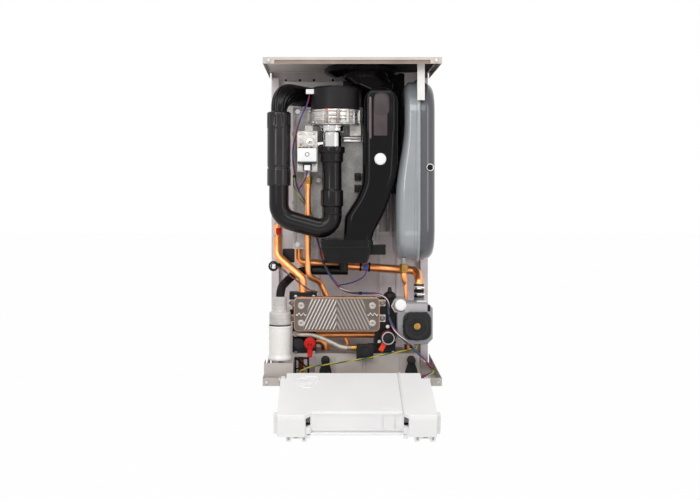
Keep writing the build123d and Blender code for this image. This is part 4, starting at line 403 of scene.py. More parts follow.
LAMPS = (Lamp("key_lamp", (-1500, 2600, 900), (600, 2400), 27),
         Lamp("fill_lamp", (1900, 2400, 300), (500, 2400), 14.5),
         Lamp("front_lamp", (-100, 2900, 900), (2200, 900), 20),
         Lamp("low_lamp", (-300, 2700, -1300), (1400, 900), 5),
         Lamp("top_lamp", (0, 1200, 2400), (1800, 900), 24))


@dataclass
class Studio:
    """The camera at the photograph's place, the soft lamps, the floor and the white surround."""

    camera_place: Point = (-62.4, 2691.0, -300.0)
    focal_mm: float = 50.14
    sensor_mm: float = 36.0
    shift: Span = (0.033, -0.073)
    clip_end_m: float = 100.0
    floor_z: float = -1450.0
    floor_reach: float = 30000.0
    floor_glow: float = 0.98
    floor_grey: float = 0.9
    ambient: float = 0.5

    def build(self) -> None:
        """Make the camera, the world, the floor and the lamps."""
        bpy.context.scene.view_settings.view_transform = "Standard"
        self.make_camera()
        self.make_world()
        self.make_floor()
        for lamp in LAMPS:
            lamp.hang()

    def make_camera(self) -> None:
        """Stand the camera square to the wall, where the photograph was taken from."""
        lens = bpy.data.cameras.new("camera")
        lens.lens = self.focal_mm
        lens.sensor_width = self.sensor_mm
        lens.shift_x, lens.shift_y = self.shift
        lens.clip_end = self.clip_end_m
        camera = bpy.data.objects.new("camera", lens)
        camera.location = at(*self.camera_place)
        camera.rotation_euler = (QUARTER_TURN, 0.0, 0.0)
        bpy.context.scene.collection.objects.link(camera)
        bpy.context.scene.camera = camera

    def make_world(self) -> None:
        """Surround the object with white for camera and glossy rays, and soft grey light for the rest."""
        world = bpy.data.worlds.new("white_surround")
        tree = fresh_tree(world)
        path = add_node(tree, "LightPath").outputs
        direct = greater(tree, path["Is Camera Ray"], path["Is Transmission Ray"])
        seen = greater(tree, direct, path["Is Glossy Ray"])
        strength = map_range(tree, seen, target=(self.ambient, 1.0))
        back = add_node(tree, "Background", {"Color": (1, 1, 1, 1)}, {"Strength": strength})
        add_node(tree, "OutputWorld", links={"Surface": back.outputs[0]})
        bpy.context.scene.world = world

    def make_floor(self) -> None:
        """Lay the pale floor below the boiler, plain and nearly white, so that it keeps a soft shadow."""
        reach, grey = self.floor_reach, self.floor_grey
        corners = [(-reach, -reach), (reach, -reach), (reach, reach), (-reach, reach)]
        mesh = bpy.data.meshes.new("floor")
        mesh.from_pydata([tuple(at(x, -d, self.floor_z)) for x, d in corners], [], [(0, 1, 2, 3)])
        floor = bpy.data.objects.new("floor", mesh)
        bpy.context.scene.collection.objects.link(floor)
        material = bpy.data.materials.new("floor_white")
        tree = fresh_tree(material)
        path = add_node(tree, "LightPath").outputs
        seen = greater(tree, path["Is Camera Ray"], path["Is Glossy Ray"])
        share = add_node(tree, "Math", {"operation": "MULTIPLY", 1: self.floor_glow}, {0: seen}).outputs[0]
        matt = add_node(tree, "BsdfDiffuse", {"Color": (grey, grey, grey, 1)}).outputs[0]
        glow = add_node(tree, "Emission", {"Color": (1, 1, 1, 1), "Strength": 1.0}).outputs[0]
        mix = add_node(tree, "MixShader", links={0: share, 1: matt, 2: glow})
        add_node(tree, "OutputMaterial", links={"Surface": mix.outputs[0]})
        mesh.materials.append(material)


# ------------------------------------------------------------------ shape tools, all in millimetres
class Facing(Enum):
    """Which way a flat-backed form looks, and so which axes its outline and its height follow."""

    FRONT = "outline in x and z, height into the room"
    UP = "outline in x and d, height upwards"
    SIDE = "outline in d and z, height to the right"
    BOX_LID = "the let-down control box: outline in x and its reach, height off its face"
    BOX_FRONT = "the let-down control box: outline in x and its height, outwards along its reach"

    def place(self, a: np.ndarray, b: np.ndarray, c: np.ndarray) -> np.ndarray:
        """Turn outline places a, b and height c into points (x, d, z)."""
        a, b, c = np.broadcast_arrays(a, b, c)
        if self is Facing.FRONT:
            return np.stack([a, c, b], -1)
        if self is Facing.UP:
            return np.stack([a, b, c], -1)
        if self is Facing.SIDE:
            return np.stack([c, a, b], -1)
        reach, height = (b, c) if self is Facing.BOX_LID else (c, b)
        return on_box(a, reach, height)


FRONT, UP, SIDE, BOX_LID, BOX_FRONT = Facing


def on_box(x: np.ndarray, reach: np.ndarray, height: np.ndarray) -> np.ndarray:
    """Turn places on the control box into points: the box hangs from its hinge, tilted down."""
    d = HINGE_D + reach * math.cos(BOX_TILT) + height * math.sin(BOX_TILT)
    z = HINGE_Z - reach * math.sin(BOX_TILT) + height * math.cos(BOX_TILT)
    return np.stack(np.broadcast_arrays(x, d, z), -1)


def eased(share: np.ndarray) -> np.ndarray:
    """Step smoothly from 0 to 1: level at both ends."""
    return share ** 2 * (3 - 2 * share)


def round_angles(count: int) -> np.ndarray:
    """Share a full turn out evenly, as one row."""
    return np.linspace(0, FULL_TURN, count, endpoint=False)[None, :]


def soften(line: Sequence[Span], trim: float, steps: int = 4) -> np.ndarray:
    """Round the corners of an open outline: each is cut back by the trim and bridged by a parabola.

    Args:
        line: points of two or three numbers.
        trim: how far from each corner its curve starts, at most half of the shorter run.
        steps: points on each curve.

    Returns:
        The outline's points with its corners rounded.
    """
    line = np.asarray(line, float)
    before, corner, after = line[:-2], line[1:-1], line[2:]
    back, ahead = before - corner, after - corner
    long_back = np.linalg.norm(back, axis=1, keepdims=True)
    long_ahead = np.linalg.norm(ahead, axis=1, keepdims=True)
    cut = np.minimum(trim, 0.5 * np.minimum(long_back, long_ahead))
    start, end = corner + back / long_back * cut, corner + ahead / long_ahead * cut
    t = np.linspace(0, 1, steps)[None, :, None]
    curve = (1 - t) ** 2 * start[:, None] + 2 * t * (1 - t) * corner[:, None] + t ** 2 * end[:, None]
    return np.concatenate([line[:1], curve.reshape(-1, line.shape[1]), line[-1:]])


def bent(route: Sequence[Point], radii: Sequence[float] = (), step: float = 4.0) -> np.ndarray:
    """Follow straight runs joined by true arcs, as a bending machine makes them.

    Each arc's centre lies on the bisector of its corner at radius over cosine of half the turn, and
    the arc starts at radius times tangent of half the turn before the corner.

    Args:
        route: the corner points.
        radii: the bend radius at each inner corner.
        step: spacing of the points that are returned.

    Returns:
        Points at an even spacing along the whole line.
    """
    points = np.asarray(route, float)
    if len(points) == 2:
        return resampled(points, step)
    run = np.diff(points, axis=0)
    run /= np.linalg.norm(run, axis=1, keepdims=True)
    come, go, corner = run[:-1], run[1:], points[1:-1]
    turn = np.arccos(np.clip((come * go).sum(1), -1, 1))[:, None]
    radius = np.asarray(radii, float)[:, None]
    bisector = (go - come) / np.linalg.norm(go - come, axis=1, keepdims=True)
    centre = corner + bisector * radius / np.cos(turn / 2)
    arm = corner - come * radius * np.tan(turn / 2) - centre
    angle = turn * np.linspace(0, 1, 14)[None, :]
    arcs = (centre[:, None] + np.cos(angle)[..., None] * arm[:, None]
            + (np.sin(angle) * radius)[..., None] * come[:, None])
    return resampled(np.concatenate([points[:1], arcs.reshape(-1, 3), points[-1:]]), step)


def way_along(line: np.ndarray) -> np.ndarray:
    """Give the length from a line's start to each of its points."""
    return np.concatenate([[0.0], np.cumsum(np.linalg.norm(np.diff(line, axis=0), axis=1))])


def resampled(line: np.ndarray, step: float) -> np.ndarray:
    """Space points evenly along a line: each coordinate is read at equal lengths along it."""
    length = way_along(line)
    places = np.linspace(0, length[-1], max(2, int(round(length[-1] / step)) + 1))
    return np.stack([np.interp(places, length, line[:, axis]) for axis in range(3)], -1)


def cross_frames(path: np.ndarray) -> tuple[np.ndarray, np.ndarray]:
    """Give two directions square to a path at each of its points.

    The first is square to the path and to one fixed direction, which is picked from many spread
    evenly over a half ball as the one that stays furthest from every tangent, so nothing flips.
    """
    tangent = np.gradient(path, axis=0)
    tangent /= np.linalg.norm(tangent, axis=1, keepdims=True)
    count = 200
    number = np.arange(count)
    height, turn = 1 - number / count, number * GOLDEN_ANGLE
    width = np.sqrt(1 - height ** 2)
    spread = np.stack([width * np.cos(turn), width * np.sin(turn), height], -1)
    fixed = spread[np.abs(spread @ tangent.T).max(1).argmin()]
    first = np.cross(fixed, tangent)
    first /= np.linalg.norm(first, axis=1, keepdims=True)
    return first, np.cross(tangent, first)


def beads(path: np.ndarray, radius: float, *bumps: tuple[float, float, float]) -> np.ndarray:
    """Give a pipe's radius along it, with a smooth bump (place, height, half width) at each place."""
    length = way_along(path)
    swell = np.zeros_like(length)
    for place, height, width in bumps:
        along = length - (place if place >= 0 else length[-1] + place)
        swell += height / (1 + (along / width) ** 8)
    return radius + swell


def rounded_ring(half_a: Any, half_b: Any, corner: Any, steps: int = 7, between: int = 0) -> np.ndarray:
    """Go round rectangles with rounded corners: each corner is a quarter circle about its own centre.

    Args:
        half_a: half of each rectangle's first side.
        half_b: half of its second side.
        corner: its corner radius.
        steps: points on each corner.
        between: points on each straight side, shared out evenly.

    Returns:
        An array of rings, each a row of points.
    """
    half_a, half_b, corner = (np.atleast_1d(v)[:, None, None] for v in np.broadcast_arrays(
        np.asarray(half_a, float), np.asarray(half_b, float), np.asarray(corner, float)))
    angle = (np.arange(4)[:, None] * math.pi / 2 + np.linspace(0, QUARTER_TURN, steps)[None, :])[None]
    side_a = np.array([1, -1, -1, 1])[None, :, None]
    side_b = np.array([1, 1, -1, -1])[None, :, None]
    a = side_a * (half_a - corner) + corner * np.cos(angle)
    b = side_b * (half_b - corner) + corner * np.sin(angle)
    corners = np.stack([a, b], -1)
    share = np.linspace(0, 1, between + 2)[1:-1, None]
    end, start = corners[:, :, -1:], np.roll(corners, -1, 1)[:, :, :1]
    return np.concatenate([corners, end + share * (start - end)], 2).reshape(len(half_a), -1, 2)


def arched(x: Span, z: Span, rise: float, depth: Span, sink: float = 0.0, count: int = 24) -> np.ndarray:
    """Lead a line straight up, over an arch and straight down again.

    Args:
        x: middle and half width.
        z: height of the feet and of the arch's springing.
        rise: height of the arch.
        depth: distance out of the wall at the feet and on the arch.
        sink: how far the arch falls back at its crown, by the eighth power of the sine.
        count: points on the arch.

    Returns:
        Points spaced 3 mm apart.
    """
    turn = np.linspace(0, math.pi, count)
    arch = np.stack([x[0] + x[1] * np.cos(turn), depth[1] - sink * np.sin(turn) ** 8,
                     z[1] + rise * np.sin(turn)], -1)
    feet = [[(x[0] + side * x[1], depth[0], z[0])] for side in (1, -1)]
    return resampled(np.concatenate([feet[0], arch, feet[1]]), 3.0)


def spline_points(route: Sequence[Point], fineness: int = 10) -> np.ndarray:
    """Read points, in millimetres, from the smooth NURBS line that follows a route's control points."""
    curve = bpy.data.curves.new("route", "CURVE")
    curve.dimensions = "3D"
    curve.resolution_u = fineness
    spline = curve.splines.new("NURBS")
    spline.points.add(len(route) - 1)
    flat = np.concatenate([at(*np.asarray(route, float).T), np.ones((len(route), 1))], axis=1)
    spline.points.foreach_set("co", flat.ravel())
    spline.order_u = 3
    spline.use_endpoint_u = True
    holder = bpy.data.objects.new("route", curve)
    line = bpy.data.meshes.new_from_object(holder)
    points = np.empty(len(line.vertices) * 3)
    line.vertices.foreach_get("co", points)
    for block, group in ((holder, bpy.data.objects), (line, bpy.data.meshes), (curve, bpy.data.curves)):
        group.remove(block)
    return points.reshape(-1, 3) * (1, -1, 1) / MM


@dataclass
class Form:
    """Surfaces gathered into one mesh before it becomes an object."""

    points: list[np.ndarray] = field(default_factory=list)
    faces: list[list[int]] = field(default_factory=list)
    count: int = 0

    def skin(self, rows: np.ndarray, loop: bool = False) -> "Form":
        """Join rows of points into a closed skin.

        Args:
            rows: points (x, d, z) in rows, each row a ring.
            loop: join the last row to the first, as for a turned ring; otherwise both ends are capped.

        Returns:
            The form itself, as from the methods below.
        """
        high, wide = rows.shape[:2]
        index = np.arange(high * wide).reshape(high, wide) + self.count
        low = index if loop else index[:-1]
        top = np.roll(index, -1, 0) if loop else index[1:]
        quads = np.stack([low, np.roll(low, -1, 1), np.roll(top, -1, 1), top], -1).reshape(-1, 4)
        self.faces += quads.tolist()
        if not loop:
            self.faces += [index[0][::-1].tolist(), index[-1].tolist()]
        self.points.append(at(*rows.reshape(-1, 3).T))
        self.count += high * wide
        return self

    def tube(self, path: np.ndarray, radius: Any, sides: int = 32, fluting: Fluting | None = None,
             loop: bool = False) -> "Form":
        """Carry a round section along a path.

        Args:
            path: points of the centre line.
            radius: one radius, or one for each point.
            sides: points round the section.
            fluting: gives what to add to the radius from the share of the way along and the angle.
            loop: join the end of the path to its start.
        """
        first, second = cross_frames(path)
        angle = round_angles(sides)
        reach = np.broadcast_to(np.asarray(radius, float).reshape(-1, 1), (len(path), sides))
        if fluting:
            reach = reach + fluting(np.linspace(0, 1, len(path))[:, None], angle)
        around = np.cos(angle)[..., None] * first[:, None] + np.sin(angle)[..., None] * second[:, None]
        return self.skin(path[:, None] + reach[..., None] * around, loop)

    def spin(self, facing: Facing, a: float, b: float, line: Sequence[Span], trim: float = 0.8,
             sides: int = 56, fluting: Fluting | None = None, loop: bool = False) -> "Form":
        """Turn an outline of (radius, height) about the axis through a, b.

        Args:
            facing: which way the axis points.
            a: place of the axis along the outline's first direction.
            b: place of the axis along its second direction.
            line: points of radius and height.
            trim: how far the outline's corners are cut back; 0 keeps them.
            sides: points round the axis.
            fluting: gives what to add to the radius from the height and the angle.
            loop: join the outline's end to its start, as for a ring.
        """
        profile = soften(line, trim) if trim else np.asarray(line, float)
        angle = round_angles(sides)
        radius, height = profile[:, :1], profile[:, 1:]
        if fluting:
            radius = radius + fluting(height, angle)
        return self.skin(facing.place(a + radius * np.cos(angle), b + radius * np.sin(angle), height), loop)

    def pad(self, facing: Facing, a: Span, b: Span, c: Span, corner: float = 2.0, edge: float = 0.8,
            turn: float = 0.0) -> "Form":
        """Make a block with rounded corners and rounded rims.

        The outline is a rounded rectangle. Near both faces it is drawn in by the edge radius times
        one minus the sine, while it rises by one minus the cosine, over a quarter turn.

        Args:
            facing: which way it looks.
            a: its span along the outline's first direction.
            b: its span along the second.
            c: its span in height.
            corner: radius of the outline's corners.
            edge: radius of the rims.
            turn: angle in degrees by which the outline is turned about its middle.
        """
        sweep = np.linspace(0, QUARTER_TURN, 4)
        inset, rise = edge * (1 - np.sin(sweep)), edge * (1 - np.cos(sweep))
        draw = np.concatenate([inset, inset[::-1]])
        height = np.concatenate([c[0] + rise, c[1] - rise[::-1]])
        half = ((a[1] - a[0]) / 2 - draw, (b[1] - b[0]) / 2 - draw)
        radius = np.minimum(np.maximum(corner - draw, 0.2), np.minimum(*half) * 0.999)
        rings = rounded_ring(*half, radius, 5)
        angle = math.radians(turn)
        u, v = rings[..., 0], rings[..., 1]
        u, v = u * math.cos(angle) - v * math.sin(angle), u * math.sin(angle) + v * math.cos(angle)
        return self.skin(facing.place(sum(a) / 2 + u, sum(b) / 2 + v, height[:, None]))

    def block(self, facing: Facing, middle: Span, half: Span, *rest: Any) -> "Form":
        """Make a pad from its middle and half sides; the rest is as for a pad, from its height on."""
        spans = ((centre - reach, centre + reach) for centre, reach in zip(middle, half))
        return self.pad(facing, *spans, *rest)

    def screw(self, a: float, b: float, c: float, radius: float, height: float) -> "Form":
        """Make a domed screw head at x, z, which falls with the square of the way from its middle."""
        r = np.linspace(1, 0.08, 7) * radius
        dome = np.stack([r, c + height * (1 - 0.6 * (r / radius) ** 2)], -1)
        return self.spin(FRONT, a, b, np.concatenate([[(radius, c - 0.5)], dome]), 0, 20)

    def hoop(self, middle: Span, half: Span, corner: float, depth: float, radius: float,
             steps: int = 8) -> "Form":
        """Carry a thin bead of the given radius along an upright rounded rectangle.

        Args:
            middle: x and z of the rectangle's middle.
            half: half of its width and of its height.
            corner: its corner radius.
            depth: its distance out of the wall.
            radius: radius of the bead.
            steps: points on each corner.
        """
        loop = rounded_ring(*half, corner, steps)[0]
        line = np.stack([middle[0] + loop[:, 0], np.full(len(loop), depth), middle[1] + loop[:, 1]], -1)
        return self.tube(line, radius, 10, loop=True)

    def piece(self, name: str, finish: Finish, slot: str, body: str | None = "frame",
              replaces: Sequence[str] = (), crease: float = 38.0) -> bpy.types.Object:
        """Make the object: outward faces, smooth shading up to the crease angle, finish and ties.

        Args:
            name: the piece's name.
            finish: its finish.
            slot: the record's material slot; not used.
            body: the body that it rides on, or None for a piece that rides on no body.
            replaces: the nodes that it stands for.
            crease: angle in degrees past which an edge stays sharp.

        Returns:
            The new object.
        """
        mesh = bpy.data.meshes.new(name)
        mesh.from_pydata(np.concatenate(self.points).tolist(), [], self.faces)
        work = bmesh.new()
        work.from_mesh(mesh)
        bmesh.ops.recalc_face_normals(work, faces=work.faces)
        work.to_mesh(mesh)
        work.free()
        mesh.shade_smooth()
        mesh.set_sharp_from_angle(angle=math.radians(crease))
        mesh.materials.append(finish.material())
        made = bpy.data.objects.new(name, mesh)
        bpy.context.scene.collection.objects.link(made)
        if body:
            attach(made, body)
        if replaces:
            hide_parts(*replaces)
        LOG.info("%s: %d faces in %s", name, len(mesh.polygons), finish.name)
        return made


@dataclass
class SubAssembly:
    """A group of the boiler's pieces: it finishes its nodes and adds its finer forms."""

    nodes: dict[str, bpy.types.Object]
    finishes: ClassVar[dict[str, Finish]] = {}

    def dress(self) -> None:
        """Give each carried-over node its finish."""
        for name, finish in self.finishes.items():
            for slot in self.nodes[name].material_slots:
                slot.material = finish.material()

    def make(self) -> None:
        """Build the finer forms; a group that needs none leaves this as it is."""

    def build(self) -> None:
        """Dress the nodes and build the forms."""
        self.dress()
        self.make()
        LOG.info("%s done", type(self).__name__)


# ------------------------------------------------------------------ frame
@dataclass
class Casework(SubAssembly):
    """Top plate, back panel, tray, brackets and screws."""

    rod: Span = (102.0, 60.0)
    rod_z: Span = (-388.0, -300.0)
    thread_pitch: float = 5.0
    finishes: ClassVar[dict[str, Finish]] = {
        "top_plate": TOP_GREY, "back_panel": BACK_GREY, "bottom_tray": COATED_GREY,
        "mounting_brackets": POWDER_WHITE, "frame_screws": ZINC}

    def make(self) -> None:
        """Add the sealing strip, the tie rod's thread, the grommet frame, black sheets of painted shade,
        plugs and cover plates.
        """
        Form().pad(FRONT, (-191, 191), (32.6, 40.6), (296.1, 296.9), 1.5, 0.3).piece(
            "lip_sealing_strip", BEIGE_FOAM, "white_steel")
        z = np.arange(*self.rod_z, self.thread_pitch / 6)
        wave = 4.6 + 0.7 * np.cos(FULL_TURN * z / self.thread_pitch)
        Form().spin(UP, *self.rod, np.stack([wave, z], -1), 0, 20).piece("tie_rod_thread", ZINC, "zinc")
        frame = Form()
        for x, z in (((-145, -107), (-705, -700)), ((-145, -140), (-756, -700)),
                     ((-112, -107), (-756, -700)), ((-145, -107), (-730, -727))):
            frame.pad(FRONT, x, z, (225.2, 229.5), 1.0, 0.5)
        frame.tube(bent([(-141, 227.4, -702), (-110, 227.4, -728)]), 2.0, 12).piece(
            "tray_grommet_frame", BLACK_PP, "black_plastic")
        # Two black sheets, on the back panel behind the duct and under the top plate, paint the shade there.
        Form().pad(FRONT, (15, 150), (-285, 44), (21.4, 23.4), 6.0, 0.6).pad(
            UP, (82, 212), (26, 284), (45.2, 46.7), 6.0, 0.5).piece(
            "painted_shade_sheets", SHADE_SHEET_BLACK, "black_plastic")
        holes = Form()
        for x in (-174.6, -136.3, -98, -46):
            holes.screw(x, 25, 21.6, 3.6, 1.2)
        holes.piece("panel_hole_plugs", RUBBER, "rubber")
        plates = Form()
        for span in ((-40, 28), (36, 120)):
            plates.pad(FRONT, span, (-742, -698), (225.1, 226.6), 2.0, 0.5)
        plates.piece("rail_cover_plates", COATED_GREY, "white_steel")


# ------------------------------------------------------------------ air path and fan
@dataclass
class AirPath(SubAssembly):
    """The black air pipes: intake elbow, silencer, U pipe and mixing pipe."""

    depth: float = 220.0
    silencer_x: float = -184.0
    mixer_x: float = -49.5
    elbow_radius: float = 25.8
    pleats: int = 13
    pleat_depth: float = 1.9
    neck_draw: float = 5.5
    bulge: float = 2.2
    pipe_radius: float = 24.9
    slots: int = 10
    slot_depth: float = 1.6
    slot_z: float = -102.0

    def make(self) -> None:
        """Build the four pipes."""
        self.make_elbow()
        self.make_silencer()
        self.make_u_pipe()
        self.make_mixing_pipe()

    def make_elbow(self) -> None:
        """Carry a pleated ring along the elbow: it swells from its neck by a smooth step, pleated there."""
        route = [(self.silencer_x, self.depth, -80), (self.silencer_x + 4, self.depth, -33), (-92, 98, -33),
                 (-20, 98, -33)]

        def pleat(along: np.ndarray, angle: np.ndarray) -> np.ndarray:
            """Draw in the neck, and sink |sin| valleys between the pleats, strongest where it swells."""
            strength = np.exp(-((along - 0.16) / 0.13) ** 2)
            valley = self.pleat_depth * strength * (1 - np.abs(np.sin(self.pleats * angle / 2)) ** 0.6)
            bulge = self.bulge * np.exp(-((along - 0.3) / 0.16) ** 2)
            return bulge - self.neck_draw * (1 - eased(np.clip(along / 0.2, 0, 1))) - valley

        Form().tube(bent(route, [40, 60], 3.0), self.elbow_radius, 104, pleat).piece(
            "intake_elbow_pleated", BLACK_PP, "black_plastic", replaces=["intake_elbow"], crease=60)

    def make_silencer(self) -> None:
        """Turn the silencer's profile and sink a row of slots round its top ring."""
        line = [(21.5, -267), (30.0, -267), (30.0, -224.5), (28.2, -222.5), (28.2, -219.5), (29.5, -217.5),
                (29.5, -122), (30.4, -120), (30.4, -83), (27.5, -80), (22.5, -80)]
        fine = resampled(np.insert(soften(line, 1.6), 2, 0.0, axis=1), 2.0)[:, :2]

        def slot(height: np.ndarray, angle: np.ndarray) -> np.ndarray:
            """Sink the ring where a steep wave of the angle and of the height are both high."""
            round_it = 1 / (1 + np.exp(-7 * (np.cos(self.slots * angle) - 0.55)))
            up_it = 1 / (1 + np.exp(np.abs(height - self.slot_z) - 11))
            return -self.slot_depth * round_it * up_it

        Form().spin(UP, self.silencer_x, self.depth, fine, 0, 160, slot).piece(
            "silencer_ribbed", CHARCOAL_NYLON, "dark_plastic", replaces=["silencer"], crease=50)

    def make_u_pipe(self) -> None:
        """Carry a round section along the U pipe, with a flat collar where each end is pushed home."""
        route = [(self.mixer_x, self.depth, -340), (self.mixer_x, self.depth, -384),
                 (self.silencer_x, self.depth, -347), (self.silencer_x, self.depth, -267)]
        path = bent(route, [32, 44], 2.5)
        Form().tube(path, beads(path, self.pipe_radius, (4, 0.1, 3), (-4, 0.1, 3)), 48).piece(
            "u_pipe_blown", SATIN_PP, "black_plastic", replaces=["u_pipe"])

    def make_mixing_pipe(self) -> None:
        """Turn the mixing pipe with its collars and set the two bayonet lugs beside its mouth."""
        x, d = self.mixer_x, self.depth
        form = Form().spin(UP, x, d, [
            (25.4, -170), (27, -168.2), (32.8, -168.2), (32.8, -181), (28.8, -187), (28.8, -205),
            (24.8, -209), (24.8, -276), (28.8, -279), (28.8, -317), (24.8, -321), (24.8, -339.8),
            (21.6, -339.8)], 2.0, 64)
        for low, high in ((x - 32.8, x - 26), (x + 26, x + 32.8)):
            form.pad(FRONT, (low, high), (-184, -170), (d - 8, d + 8), 2.5, 1.2)
        form.piece("mixing_pipe_moulded", SATIN_PP, "black_plastic", replaces=["mixing_pipe"])


@dataclass
class Fan(SubAssembly):
    """Fan cover, volute casting, impeller and the chromed venturi neck."""

    x: float = -42.0
    d: float = 220.0
    neck_x: float = -49.5
    finishes: ClassVar[dict[str, Finish]] = {"fan_casting": DIE_CAST, "fan_impeller": DIE_CAST}

    def make(self) -> None:
        """Turn the cover and the neck, and add the seam tab and the casting's rings, bosses and screws."""
        Form().spin(UP, self.x, self.d, [
            (20, -76.8), (61.8, -76.8), (61.8, -71), (60.8, -69), (60.8, -24), (57, -18.4), (38, -17.7),
            (36, -19.5), (20, -19.5)], 3.0, 96).piece(
            "fan_cover_turned", FAN_NYLON, "dark_plastic", replaces=["fan_cover"])
        Form().spin(UP, self.neck_x, self.d, [
            (20.2, -114.2), (33.8, -114.2), (33.8, -119), (31.4, -121), (31.4, -129), (26.4, -131.5),
            (24.8, -134), (24.8, -179.8), (20.2, -179.8)], 1.6, 72).tube(
            bent([(-85.8, 212, -160), (self.neck_x - 20, 212, -160)]), 7.8, 28).piece(
            "venturi_neck_turned", CHROME, "steel", replaces=["venturi_neck"])
        Form().pad(FRONT, (-68, -49), (-79.5, -75.5), (280.2, 282.8), 1.2, 0.6).piece(
            "fan_seam_tab", RED_ACETAL, "red_plastic")
        rings = Form()
        for low, high, radius in ((-81.8, -77.6, 65.0), (-93.5, -84.5, 64.2), (-100.0, -96.0, 64.8)):
            band = [(radius - 3.6, low), (radius, low), (radius, high), (radius - 3.6, high)]
            rings.spin(UP, self.x - 3, self.d, band, 0.9, 96, loop=True)
        rings.piece("casting_rings", BRIGHT_CAST, "cast_alloy")
        bosses = Form()
        for x in (-64, -35):
            bosses.pad(FRONT, (x - 4.5, x + 4.5), (-111, -78), (276, 285.6), 2.5, 1.6)
        bosses.piece("casting_bosses", DULL_NICKEL, "cast_alloy")
        angle = np.radians([75, 105, 140, 40])
        screws = Form()
        for x, d in zip(self.x + 60 * np.cos(angle), self.d + 58 * np.sin(angle)):
            screws.spin(UP, x, d, [(1, -113), (4.2, -113), (4.2, -80), (1, -80)], 1.2, 20)
            screws.screw(x, -96, d + 4.0, 2.6, 1.4)
        screws.piece("casting_screws", ZINC, "zinc")


